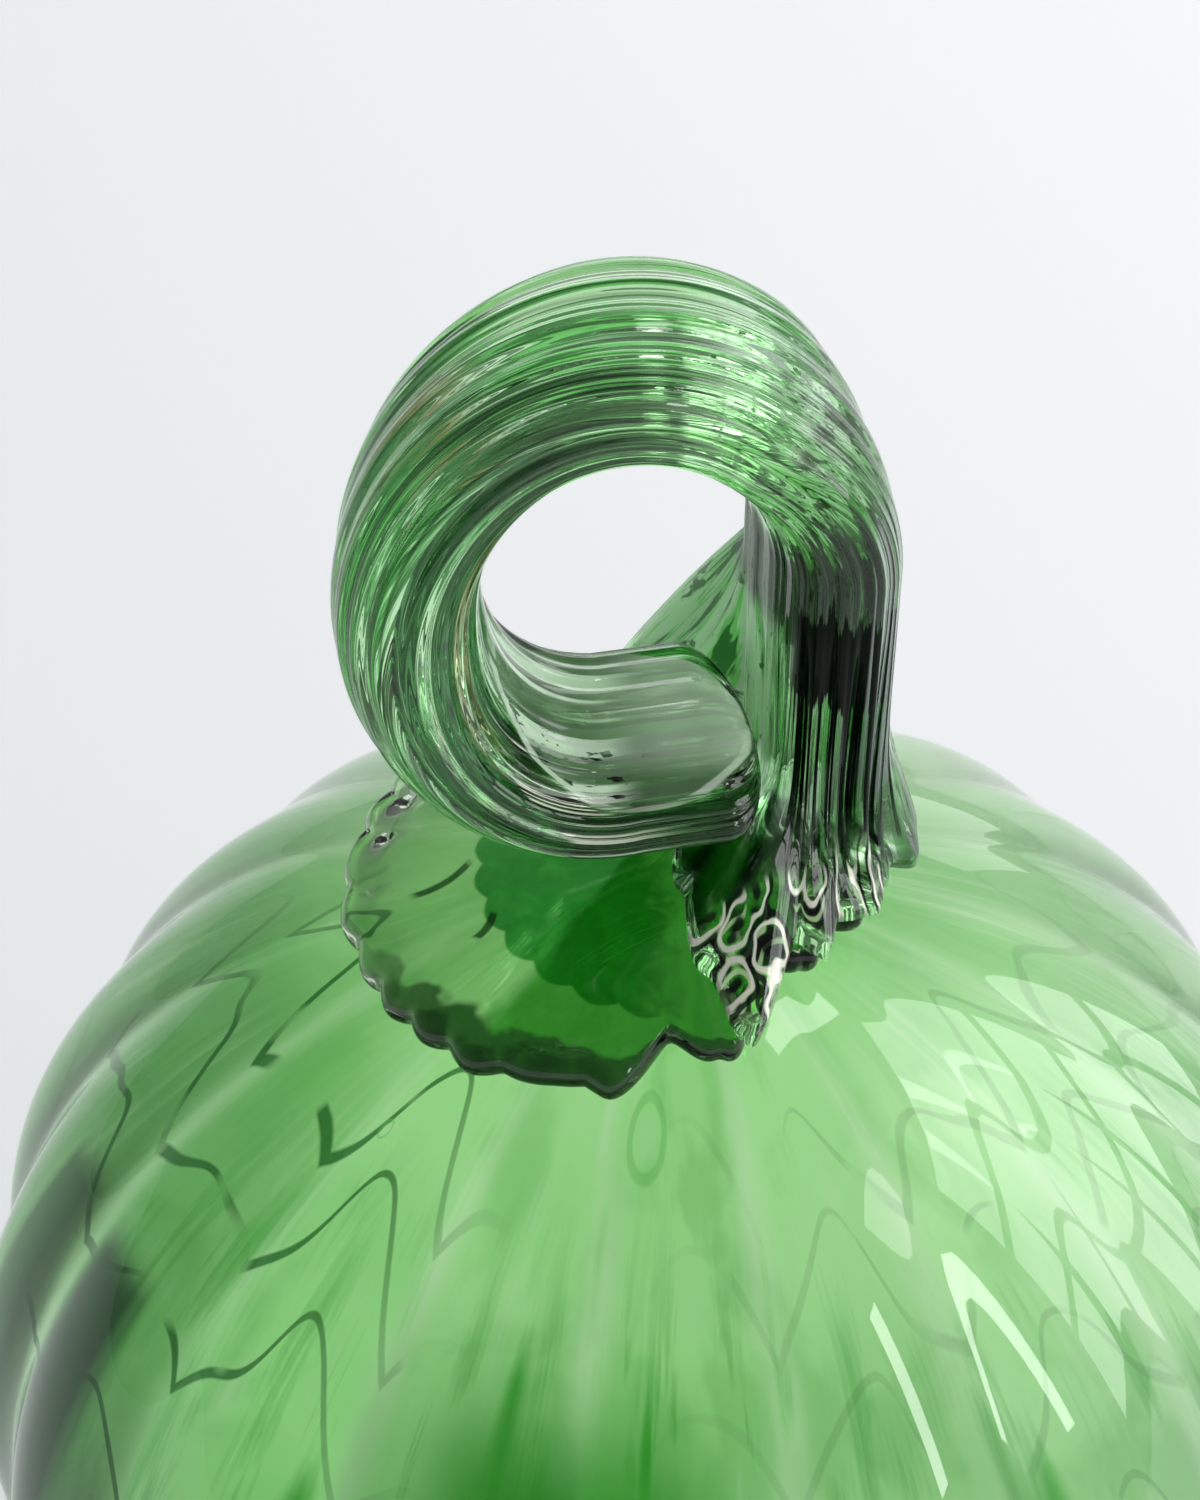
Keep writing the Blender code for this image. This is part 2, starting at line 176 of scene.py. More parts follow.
def value_at(outline, angle):
    """The value of a closed outline at an angle, eased between its listed points."""
    degrees = math.degrees(angle)
    first = outline[0][0]
    turn = (degrees - first) % 360
    corners = [(point[0] - first, point[1]) for point in outline]
    corners.append((360, outline[0][1]))
    for (low, value_low), (high, value_high) in zip(corners, corners[1:]):
        if low <= turn <= high:
            return blend(value_low, value_high, smooth_step((turn - low) / (high - low)))
    return outline[0][1]


def turn_angles(count):
    return [2 * math.pi * index / count for index in range(count)]


# Meshes


def add_object(name, data):
    thing = bpy.data.objects.new(name, data)
    bpy.context.scene.collection.objects.link(thing)
    return thing


def loft(name, rings, first_point, last_point, slots):
    """One closed skin over rings of equal length, capped by a fan at each end.

    slots gives the material slot of each band between two rings, and its last value the slot
    of the last cap.
    """
    count = len(rings[0])
    vertices = [point for ring in rings for point in ring]
    faces = []
    face_slots = []
    for row in range(len(rings) - 1):
        for column in range(count):
            following = (column + 1) % count
            low = row * count
            high = low + count
            faces.append((low + column, low + following, high + following, high + column))
            face_slots.append(slots[row])
    for row, point, slot in ((0, first_point, slots[0]), (len(rings) - 1, last_point, slots[-1])):
        centre = len(vertices)
        vertices.append(point)
        for column in range(count):
            near = row * count + column
            far = row * count + (column + 1) % count
            faces.append((far, near, centre) if row == 0 else (near, far, centre))
            face_slots.append(slot)
    data = bpy.data.meshes.new(name)
    data.from_pydata([tuple(vertex) for vertex in vertices], [], faces)
    data.polygons.foreach_set("material_index", face_slots)
    skin = bmesh.new()
    skin.from_mesh(data)
    bmesh.ops.recalc_face_normals(skin, faces=skin.faces)
    skin.to_mesh(data)
    skin.free()
    data.shade_smooth()
    return add_object(name, data)


def keep_places(thing, name, places):
    """Keeps a place for each vertex, unrolled from the skin's form, for its material to read."""
    attribute = thing.data.attributes.new(name, "FLOAT_VECTOR", "POINT")
    flat = [number for place in places for number in place]
    attribute.data.foreach_set("vector", flat)


# The blown body


def rib_valley(angle):
    """0 on a rib's crest and 1 in the valley between two ribs."""
    lobe = math.sqrt(math.sin(RIB_COUNT * angle / 2) ** 2 + RIB_SOFTNESS**2)
    most = math.sqrt(1 + RIB_SOFTNESS**2)
    return (most - lobe) / (most - RIB_SOFTNESS)


def crown_profile(inset, steps):
    """Points from beside the top down to the equator, on the skin this far inside the crests."""
    radius = BODY_RADIUS - inset
    rise = CROWN_RISE - inset
    for step in range(1, steps + 1):
        angle = math.pi / 2 * step / steps
        yield radius * math.sin(angle), EQUATOR_HEIGHT + rise * math.cos(angle)


def flank_profile(inset, floor, steps):
    """Points from under the equator down and in to the ground ring's outer edge."""
    reach = BODY_RADIUS - inset - RING_OUTER
    for step in range(1, steps + 1):
        angle = math.pi / 2 * step / steps
        height = EQUATOR_HEIGHT - (EQUATOR_HEIGHT - floor) * math.sin(angle)
        yield RING_OUTER + reach * math.cos(angle), height


def rib_share(radius, height):
    """How much of the full rib depth shows here: none at the neck or on the ground ring."""
    if height >= EQUATOR_HEIGHT:
        return (radius / BODY_RADIUS) ** 2
    return smooth_step(height / EQUATOR_HEIGHT)


def body_point(radius, angle, height):
    return Vector((radius * math.cos(angle), radius * math.sin(angle), height))


def kick_rings(floor, angles):
    """The pushed-up base inside the ground ring."""
    rings = []
    for step in range(KICK_STEPS):
        radius = RING_INNER * (1 - step / KICK_STEPS)
        height = floor + KICK_HEIGHT * (1 - (radius / RING_INNER) ** 2)
        rings.append([body_point(radius, angle, height) for angle in angles])
    return rings


def build_body(material_outside, material_inside):
    """The blown shell: its neck is closed here, because the foot is fused over it."""
    angles = turn_angles(BODY_COLUMNS)
    depths = []
    for angle in angles:
        uneven = 1 + RIB_UNEVENNESS * (1 + math.sin(4 * angle + 2)) / 2
        depths.append(RIB_DEPTH * uneven * rib_valley(angle))
    rings = []
    for radius, height in [*crown_profile(0, CROWN_STEPS), *flank_profile(0, 0, FLANK_STEPS)]:
        share = rib_share(radius, height)
        rings.append([body_point(radius - d * share, a, height) for a, d in zip(angles, depths)])
    rings += kick_rings(0, angles)
    top = Vector((0, 0, BODY_HEIGHT))
    under = Vector((0, 0, KICK_HEIGHT))
    body = loft("glass_body_skin", rings, top, under, [0] * len(rings))

    profile = [
        *crown_profile(WALL, INNER_CROWN_STEPS), *flank_profile(WALL, FLOOR, INNER_FLANK_STEPS),
    ]
    inner = [[body_point(radius, a, height) for a in angles] for radius, height in profile]
    inner += kick_rings(FLOOR, angles)
    ceiling = top - Vector((0, 0, WALL))
    hollow = loft("hollow", inner, ceiling, under + Vector((0, 0, FLOOR)), [1] * len(inner))
    hollow.data.flip_normals()

    skin = bmesh.new()
    skin.from_mesh(body.data)
    skin.from_mesh(hollow.data)
    skin.to_mesh(body.data)
    skin.free()
    bpy.data.objects.remove(hollow)
    body.data.materials.append(material_outside)
    body.data.materials.append(material_inside)
    return body


# The stem foot


def crown_height(radius):
    return EQUATOR_HEIGHT + CROWN_RISE * math.sqrt(max(0, 1 - (radius / BODY_RADIUS) ** 2))


def flange_lift(radius):
    """How far the free flange lifts off the crown, past the fused part."""
    return FLANGE_LIFT * smooth_step((radius - FUSED_RADIUS) / FLANGE_LIFT_RUN)


def foot_underside(radius):
    return crown_height(radius) + SEAT_GAP + flange_lift(radius)


def rolled_underside(radius, share):
    """The underside with its rim, which rolls back down towards the crown."""
    roll = RIM_ROLL * smooth_step((share - RIM_START) / (1 - RIM_START))
    return foot_underside(radius) - flange_lift(radius) * roll


def foot_top(radius):
    mound = MOUND_HEIGHT * math.exp(-((radius / MOUND_RADIUS) ** 2))
    return foot_underside(radius) + FLANGE_THICKNESS + mound


def seat_height(place):
    """Where the curl's underside lies over a place in plan, a gap above the pad."""
    return foot_top(math.hypot(place.x, place.y)) + SEAT_GAP


def flange_reach(angle):
    drift = SCALLOP_DRIFT * math.sin(5 * angle)
    scallop = SCALLOP_DEPTH * (1 - abs(math.sin(SCALLOP_COUNT * (angle + drift) / 2)))
    shift = FLANGE_SHIFT * math.cos(angle)
    return FLANGE_REACH * value_at(FLANGE_OUTLINE, angle) + shift - scallop


def build_foot(material_top, material_under):
    """The pad, which keeps for each vertex how far it lies from the pad's rim."""
    angles = turn_angles(FOOT_COLUMNS)
    reaches = [flange_reach(angle) for angle in angles]
    edge = FLANGE_THICKNESS / 2
    rings = []
    rims = []

    def add_ring(share, surface):
        points = []
        for angle, reach in zip(angles, reaches):
            radius = (reach - edge) * share
            points.append(body_point(radius, angle, surface(radius, share)))
            rims.append((reach - radius, 0, 0))
        rings.append(points)

    for step in range(1, FOOT_RINGS + 1):
        add_ring(step / FOOT_RINGS, lambda radius, share: foot_top(radius))
    for step in range(1, RIM_STEPS):
        turn = math.pi * step / RIM_STEPS
        points = []
        for angle, reach in zip(angles, reaches):
            low = rolled_underside(reach - edge, 1)
            high = foot_top(reach - edge)
            height = blend(low, high, (1 + math.cos(turn)) / 2)
            points.append(body_point(reach - edge + edge * math.sin(turn), angle, height))
            rims.append((edge * (1 - math.sin(turn)), 0, 0))
        rings.append(points)
    for step in range(FOOT_RINGS, 0, -1):
        add_ring(step / FOOT_RINGS, rolled_underside)
    rims += [(FLANGE_REACH, 0, 0)] * 2
    slots = [0] * (FOOT_RINGS + RIM_STEPS - 1) + [1] * FOOT_RINGS
    foot = loft(
        "stem_foot_skin", rings, Vector((0, 0, foot_top(0))),
        Vector((0, 0, foot_underside(0))), slots,
    )
    keep_places(foot, "rim", rims)
    foot.data.materials.append(material_top)
    foot.data.materials.append(material_under)
    return foot


# The stem curl

COLUMN_ANGLES = turn_angles(CURL_COLUMNS)


def groove_share(angle):
    """0 on the ridge of one of the curl's ribs and 1 in the groove beside it."""
    return 1 - abs(math.sin(CURL_RIB_COUNT * angle / 2))


def fine_groove_share(angle):
    """The same for the fine, uneven ribs that the glass takes on as it is drawn out."""
    turn = FINE_RIB_COUNT * angle + 2.2 * math.sin(3 * angle) + 1.4 * math.sin(7 * angle + 1)
    uneven = 0.55 + 0.45 * math.sin(5 * angle + 2) * math.sin(11 * angle)
    return (1 - math.sin(turn)) / 2 * uneven


def section_axes(along, twist):
    """The wide and the thin direction of a section of the curl that is square to its path."""
    back = Vector((0, 1, 0))
    back = (back - along * back.dot(along)).normalized()
    outwards = back.cross(along)
    wide = back * math.cos(twist) + outwards * math.sin(twist)
    return wide, wide.cross(along)


def squared(value):
    """A sine or cosine pushed out towards a square section."""
    return math.copysign(abs(value) ** (2 / SECTION_SQUARENESS), value)


def half_size(size, groove):
    """Half a section's size less a groove, within the least share that the section keeps."""
    return max(size / 2 - groove, size / 2 * LEAST_SECTION_SHARE)


def curl_section(centre, along, depth, thickness, twist):
    """One ribbed section of the curl: wide in depth, thin across."""
    wide, thin = section_axes(along, twist)
    points = []
    for angle in COLUMN_ANGLES:
        groove = CURL_RIB_DEPTH * groove_share(angle) + FINE_RIB_DEPTH * fine_groove_share(angle)
        groove += CURL_INSET
        across = wide * squared(math.cos(angle)) * half_size(depth, groove)
        outer = thin * squared(math.sin(angle)) * half_size(thickness, groove)
        points.append(centre + across + outer)
    return points


def curl_centre_height():
    return foot_top(0) + CURL_CLEARANCE + TAIL_THICKNESS / 2 + ARC_RADIUS_Z


def arc_point(angle):
    """A point of the curl's tilted oval: 0 at the trunk, a quarter turn at the top."""
    return Vector((
        CURL_CENTRE_X + ARC_RADIUS_X * math.cos(angle),
        CURL_CENTRE_Y + CURL_YAW * math.cos(angle) + CURL_LEAN * math.sin(angle),
        curl_centre_height() + ARC_RADIUS_Z * math.sin(angle),
    ))


def arc_heading(angle):
    return Vector((
        -ARC_RADIUS_X * math.sin(angle),
        -CURL_YAW * math.sin(angle) + CURL_LEAN * math.cos(angle),
        ARC_RADIUS_Z * math.cos(angle),
    )).normalized()


def root_rings():
    """The root from the foot up to the trunk: each column leans out to its claw or fan.

    The grooves between the ribs fade out at its foot, where a thin web joins the claws.
    """
    axis = arc_point(0)
    top = curl_centre_height() - BODY_HEIGHT
    trunk_height = BODY_HEIGHT + min(ROOT_HEIGHT, top)
    centre = Vector((axis.x, axis.y, trunk_height))
    trunk = curl_section(centre, Vector((0, 0, 1)), TRUNK_DEPTH, TRUNK_THICKNESS, TRUNK_TWIST)
    rings = []
    for step in range(ROOT_STEPS + 1):
        share = (step / ROOT_STEPS) ** ROOT_CROWDING
        points = []
        for point, angle in zip(trunk, COLUMN_ANGLES):
            spoke = Vector((point.x - axis.x, point.y - axis.y, 0))
            heading = math.atan2(spoke.y, spoke.x)
            reach = max(ROOT_REACH * value_at(ROOT_OUTLINE, heading), spoke.length)
            flare = value_at(ROOT_FLARE, heading)
            swell = value_at(ROOT_SWELL, heading)
            distance = blend(spoke.length, reach, (1 - share**swell) ** flare)
            web = smooth_step(share / ROOT_WEB)
            distance -= ROOT_RIB_DEPTH * groove_share(angle) * (1 - share) * web
            distance -= FINE_RIB_DEPTH * fine_groove_share(angle) * (1 - share)
            place = axis + spoke.normalized() * distance
            height = blend(seat_height(place) + ROOT_EDGE, trunk_height, share)
            points.append(Vector((place.x, place.y, height)))
        rings.append(points)
    return rings


def root_underside(edge):
    """Rings that close the root's flat underside over the foot, from its edge inwards."""
    axis = arc_point(0)
    rings = []
    for step in range(UNDERSIDE_STEPS, 0, -1):
        share = step / UNDERSIDE_STEPS
        points = []
        for point in edge:
            place = Vector((blend(axis.x, point.x, share), blend(axis.y, point.y, share), 0))
            place.z = seat_height(place)
            points.append(place)
        rings.append(points)
    return rings


def section_sizes(angle):
    """Depth, thickness and twist of the rod as it turns from the trunk to the tail."""
    turn = angle / (math.pi / 2)
    if turn <= 1:
        share = smooth_step(turn)
        depth = blend(TRUNK_DEPTH, TOP_DEPTH, share)
        thickness = blend(TRUNK_THICKNESS, TOP_THICKNESS, share)
    else:
        share = smooth_step(turn - THINNING_START)
        depth = blend(TOP_DEPTH, TAIL_DEPTH, share)
        thickness = blend(TOP_THICKNESS, TAIL_THICKNESS, share)
    twist = TRUNK_TWIST * (1 - smooth_step(turn * UNTWIST_RATE))
    return depth, thickness, twist + TAIL_TWIST * smooth_step(turn - THINNING_START)


def tail_run(root, tail_start, heading):
    """How far the tail runs before its tip stops, the named gap short of the root and trunk."""
    wide, thin = section_axes(heading, TAIL_TWIST)
    run = (arc_point(0) - tail_start).dot(heading)
    for points in root:
        for point in points:
            offset = point - tail_start
            across = abs(offset.dot(wide)) / (TAIL_DEPTH / 2)
            if across >= 1:
                continue
            swell = (1 - across**SECTION_SQUARENESS) ** (1 / SECTION_SQUARENESS)
            if abs(offset.dot(thin)) < TAIL_THICKNESS / 2 * swell + TIP_GAP:
                rounding = TIP_LENGTH * (1 - math.sqrt(1 - across**2))
                run = min(run, offset.dot(heading) + rounding)
    return run - TIP_GAP


def build_curl(material):
    root = root_rings()
    loops = [*reversed(root_underside(root[0])), *root]
    trunk_end = arc_point(0)
    trunk_start = root[-1][0].z
    upright = Vector((0, 0, 1))
    for step in range(1, TRUNK_STEPS):
        height = blend(trunk_start, trunk_end.z, step / TRUNK_STEPS)
        middle = Vector((trunk_end.x, trunk_end.y, height))
        loops.append(curl_section(middle, upright, TRUNK_DEPTH, TRUNK_THICKNESS, TRUNK_TWIST))
    for step in range(ARC_STEPS + 1):
        angle = CURL_TURN * step / ARC_STEPS
        loops.append(curl_section(arc_point(angle), arc_heading(angle), *section_sizes(angle)))
    tail_start = arc_point(CURL_TURN)
    heading = arc_heading(CURL_TURN)
    tail_length = tail_run(root, tail_start, heading)
    straight = tail_length - TIP_LENGTH
    for step in range(1, TAIL_STEPS + 1):
        centre = tail_start + heading * straight * step / TAIL_STEPS
        loops.append(curl_section(centre, heading, TAIL_DEPTH, TAIL_THICKNESS, TAIL_TWIST))
    for step in range(1, TIP_STEPS):
        angle = math.pi / 2 * step / TIP_STEPS
        centre = tail_start + heading * (straight + TIP_LENGTH * math.sin(angle))
        depth = TAIL_DEPTH * math.cos(angle)
        thickness = TAIL_THICKNESS * math.cos(angle)
        loops.append(curl_section(centre, heading, depth, thickness, TAIL_TWIST))
    seat = Vector((trunk_end.x, trunk_end.y, seat_height(trunk_end)))
    tip = tail_start + heading * tail_length
    curl = loft("stem_curl_skin", loops, seat, tip, [0] * len(loops))

    grain = []
    length = 0.0
    centres = [sum(ring, Vector()) / len(ring) for ring in loops]
    for row, ring in enumerate(loops):
        if row:
            length += (centres[row] - centres[row - 1]).length
        for angle in COLUMN_ANGLES:
            grain.append((GRAIN_RADIUS * math.cos(angle), GRAIN_RADIUS * math.sin(angle), length))
    grain.append((0, 0, 0))
    grain.append((0, 0, length))
    keep_places(curl, "grain", grain)
    curl.data.materials.append(material)
    return curl


# Shader nodes

GLASS_IOR = 1.5


class Value:
    """A number that a shader works out: arithmetic with it adds the nodes for that."""

    def __init__(self, nodes, socket):
        self.nodes = nodes
        self.socket = socket

    def __add__(self, other):
        return self.nodes.math("ADD", self, other)

    def __sub__(self, other):
        return self.nodes.math("SUBTRACT", self, other)

    def __rsub__(self, other):
        return self.nodes.math("SUBTRACT", other, self)

    def __mul__(self, other):
        return self.nodes.math("MULTIPLY", self, other)

    def __truediv__(self, other):
        return self.nodes.math("DIVIDE", self, other)

    def __rtruediv__(self, other):
        return self.nodes.math("DIVIDE", other, self)

    def __pow__(self, other):
        return self.nodes.math("POWER", self, other)

    def __abs__(self):
        return self.nodes.math("ABSOLUTE", self)

    def sin(self):
        return self.nodes.math("SINE", self)

    def cos(self):
        return self.nodes.math("COSINE", self)

    def root(self):
        return self.nodes.math("SQRT", self)

    def step(self, low, high, to_low=0.0, to_high=1.0):
        """A smooth step from one value to another; low may be above high."""
        node = self.nodes.node(
            "MapRange",
            {"Value": self, "From Min": low, "From Max": high, "To Min": to_low, "To Max": to_high},
            interpolation_type="SMOOTHSTEP",
        )
        return Value(self.nodes, node.outputs["Result"])

    def band(self, low, high, edge):
        """1 between low and high, with soft edges outside them."""
        return self.step(low - edge, low) * self.step(high, high + edge, 1.0, 0.0)

    def line(self, half_width):
        """1 at 0, as on a line, and 0 from its half width outwards."""
        return abs(self).step(half_width * 0.5, half_width, 1.0, 0.0)

    def facing(self, degrees, spread):
        """1 where an azimuth lies one way, down to 0 at the spread, in degrees, to either side."""
        turn = (self - math.radians(degrees)).cos()
        full = math.cos(math.radians(spread * 0.4))
        return turn.step(math.cos(math.radians(spread)), full)


def highest(first, *others):
    for other in others:
        first = first.nodes.math("MAXIMUM", first, other)
    return first


def distance(x, y):
    return (x**2.0 + y**2.0).root()


def direction(x, y):
    """The angle of a point, from its first axis towards its second."""
    return y.nodes.math("ARCTAN2", y, x)


class Nodes:
    """A short way to lay out the shader nodes of one material or of the world."""

    def __init__(self, owner):
        self.owner = owner
        owner.use_nodes = True
        self.tree = owner.node_tree
        self.tree.nodes.clear()

    def link(self, source, socket):
        if isinstance(source, Value):
            source = source.socket
        if isinstance(source, bpy.types.NodeSocket):
            self.tree.links.new(source, socket)
        elif source is not None:
            socket.default_value = source

    def node(self, kind, inputs=None, **settings):
        node = self.tree.nodes.new("ShaderNode" + kind)
        for key, value in settings.items():
            setattr(node, key, value)
        for key, value in (inputs or {}).items():
            self.link(value, node.inputs[key])
        return node

    def math(self, operation, first, second=None):
        node = self.node("Math", operation=operation)
        self.link(first, node.inputs[0])
        self.link(second, node.inputs[1])
        return Value(self, node.outputs[0])

    def noise(self, vector, scale, detail=2.0, roughness=0.5, distortion=0.0):
        node = self.node(
            "TexNoise",
            {"Vector": vector, "Scale": scale, "Detail": detail, "Roughness": roughness,
             "Distortion": distortion},
        )
        return Value(self, node.outputs["Fac"])

    def mix(self, share, first, second):
        node = self.node("Mix", data_type="RGBA")
        self.link(share, node.inputs["Factor"])
        self.link(first, node.inputs[6])
        self.link(second, node.inputs[7])
        return node.outputs[2]

    def layers(self, tint, *layers):
        """Each layer's colour over the tint, by the layer's share."""
        for share, colour in layers:
            tint = self.mix(share, tint, colour)
        return tint

    def combine(self, x, y, z):
        return self.node("CombineXYZ", {"X": x, "Y": y, "Z": z}).outputs[0]

    def separate(self, vector):
        parts = self.node("SeparateXYZ", {"Vector": vector}).outputs
        return [Value(self, part) for part in parts]

    def place(self):
        """Where a point lies on the object, in metres."""
        return self.separate(self.node("TexCoord").outputs["Object"])

    def kept(self, name):
        """The place that a skin keeps for its material."""
        return self.separate(self.node("Attribute", attribute_name=name).outputs["Vector"])

    def glass(self, colour, shade, roughness, clearness=1.0, gloss=0.5, volume=None):
        """Glass that bends light, and that lets lamps through with a plain tint."""
        shader = self.node(
            "BsdfPrincipled",
            {"Base Color": colour, "Roughness": roughness, "IOR": GLASS_IOR,
             "Transmission Weight": clearness, "Specular IOR Level": gloss},
        )
        clear = self.node("BsdfTransparent", {"Color": shade})
        path = self.node("LightPath")
        mixed = self.node("MixShader")
        self.link(path.outputs["Is Shadow Ray"], mixed.inputs[0])
        self.link(shader.outputs[0], mixed.inputs[1])
        self.link(clear.outputs[0], mixed.inputs[2])
        output = self.node("OutputMaterial")
        self.link(mixed.outputs[0], output.inputs["Surface"])
        if volume:
            inside = self.node("VolumeAbsorption", {"Color": volume[0], "Density": volume[1]})
            self.link(inside.outputs[0], output.inputs["Volume"])
        return self.owner


# The body's glass

# Tints of the light that passes through the wall's two faces once
BODY_CENTRE = (0.68, 0.99, 0.59, 1)
# The left tint is painted shade and the right tint painted light
BODY_SHADED_LEFT = (0.31, 0.64, 0.27, 1)
BODY_LIT_RIGHT = (0.68, 0.95, 0.60, 1)
BODY_DEEP = (0.06, 0.46, 0.045, 1)
BODY_PALE = (0.88, 0.99, 0.82, 1)
# Dark green of the painted reflections in lines over the ribs
REFLECTED_LINE_GREEN = (0.015, 0.10, 0.02, 1)
# Grey of a painted dark reflection
DARK_REFLECTION_GREY = (0.03, 0.10, 0.035, 1)
BODY_SHADE = (0.97, 0.995, 0.97, 1)

# Where the body's glass changes, with painted shade at the left, far right and front, painted light
# at the right and painted reflections in dark lines: azimuth and how far to either side, in degrees
SHADED_LEFT_SIDE = (-190, 58)
LIT_RIGHT_SIDE = (-20, 75)
SHADED_FAR_RIGHT = (0, 45)
FRONT_SHADE = (-100, 16)
REFLECTED_LINES_STRONG = (-152, 42)
REFLECTED_LINES_FAINT = (-40, 60)

# Where it changes on the way down: polar angles in degrees, and the share that shows above them
SHADED_LEFT_FALL = (18, 42, 0.15)
LIT_RIGHT_FALL = (12, 30, 0.2)
BAND_FALL = (24, 48)
FRONT_FALL = (39, 51)

# The painted dark reflection at the far left, a wedge: its azimuths, their soft edge and where it
# starts, in degrees
WEDGE_AZIMUTHS = (math.radians(-168), math.radians(-149), math.radians(1.5))
WEDGE_TOP = (50, 54)

# Painted shade: dark tongues that rise from the painted shade low at the front: azimuth, top and half
# width in degrees
TONGUES = ((-107, 36, 3.0), (-93.5, 39, 2.6), (-124, 50, 4.0), (-57, 47, 2.8))
TONGUE_LENGTH = math.radians(20)

# Noise round the body: how busy it is round and down, its scale, detail, roughness and warp
DRIFT_NOISE = (2.6, 0.8, 1.0, 1.0)
ARCH_NOISE = (2.2, 0.6, 1.7, 1.0)
BREAK_NOISE = (4.0, 5.0, 1.0)
WISP_NOISE = (11.0, 1.3, 1.5, 4.0, 0.55, 0.5)
CLOUD_NOISE = (3.0, 2.4, 1.4, 3.0, 0.6, 0.4)

# Painted reflection: dark lines in rows round the body, which lie in arches over the ribs
REFLECTED_LINE_ROWS = (30, 40, 51, 64)
REFLECTED_LINE_ARCH = math.radians(8)
REFLECTED_LINE_DRIFT = 0.30
REFLECTED_LINE_HALF_WIDTH = 0.55 * MM
FAINT_SHARE = 0.35

# The blown glass is smooth outside, and milky inside
GLOSSY = 0.02
INSIDE_ROUGHNESS = 0.32

# Seeds, the small bubbles in the wall: azimuth and polar angle in degrees, half length and width
SEEDS = ((-95.7, 23.9, 4.0 * MM, 1.5 * MM), (-135.5, 29.9, 1.0 * MM, 0.5 * MM))
SEED_OUTLINE = 0.22
SEED_LENS = 0.8


class BodyPlaces:
    """Where a point lies on the body: its azimuth and polar angle, and 1 on a rib's crest."""

    def __init__(self, nodes):
        self.nodes = nodes
        x, y, z = nodes.place()
        self.azimuth = direction(x, y)
        across = distance(x, y) / BODY_RADIUS
        self.polar = direction((z - EQUATOR_HEIGHT) / CROWN_RISE, across)
        self.rib = abs((self.azimuth * (RIB_COUNT / 2)).sin())

    def noise(self, turn_scale, polar_scale, *settings):
        """Noise with no seam round the body."""
        place = self.nodes.combine(
            self.azimuth.cos() * turn_scale, self.azimuth.sin() * turn_scale,
            self.polar * polar_scale,
        )
        return self.nodes.noise(place, *settings)

    def down(self, start, end, least=0.0):
        """The least share above one polar angle, in degrees, rising to 1 at another."""
        return self.polar.step(math.radians(start), math.radians(end), least)


def reflected_dark_lines(body):
    """Painted reflection: rows of dark lines that arch up over each rib and dip into the valleys."""
    drift = (body.noise(*DRIFT_NOISE) - 0.5) * REFLECTED_LINE_DRIFT
    height = body.noise(*ARCH_NOISE).step(0.35, 0.65, 0.5 * REFLECTED_LINE_ARCH, 1.4 * REFLECTED_LINE_ARCH)
    level = body.polar + body.rib * height + drift
    fall = 1.0 - body.rib**2.0
    steep = (REFLECTED_LINE_ARCH * RIB_COUNT / 2) / body.polar.sin()
    stretch = (fall * steep * steep + 1.0).root()
    lines = 0.0
    for row in REFLECTED_LINE_ROWS:
        middle = math.radians(row) + REFLECTED_LINE_ARCH / 2
        away = (level - middle) / stretch
        lines = highest(away.line(REFLECTED_LINE_HALF_WIDTH / BODY_RADIUS), lines)
    broken = body.noise(*BREAK_NOISE).step(0.36, 0.46)
    faint = body.azimuth.facing(*REFLECTED_LINES_FAINT) * FAINT_SHARE
    return lines * broken * highest(body.azimuth.facing(*REFLECTED_LINES_STRONG), faint)


# Painted shade low at the front of the body, with dark tongues rising from it
def painted_front_shade(body):
    marks = 0.0
    for turn, top, half_width in TONGUES:
        across = body.azimuth - math.radians(turn)
        below = body.polar - math.radians(top)
        widening = below.step(0.0, TONGUE_LENGTH, 0.05)
        share = abs(across) / math.radians(half_width)
        mark = (share / widening).step(1.6, 0.2)
        marks = highest(mark * below.step(0.0, 0.12), marks)
    return highest(body.azimuth.facing(*FRONT_SHADE) * body.down(*FRONT_FALL), marks)


def seed_marks(body):
    """A pale lens with a thin darker outline for each bubble in the wall."""
    outline = 0.0
    lens = 0.0
    for turn, fall, half_length, half_width in SEEDS:
        along = (body.polar - math.radians(fall)) * (BODY_RADIUS / half_length)
        reach = BODY_RADIUS * math.sin(math.radians(fall))
        across = (body.azimuth - math.radians(turn)) * (reach / half_width)
        edge = distance(along, across)
        outline = highest((edge - 1.0).line(SEED_OUTLINE), outline)
        lens = highest(edge.line(SEED_LENS), lens)
    return outline, lens


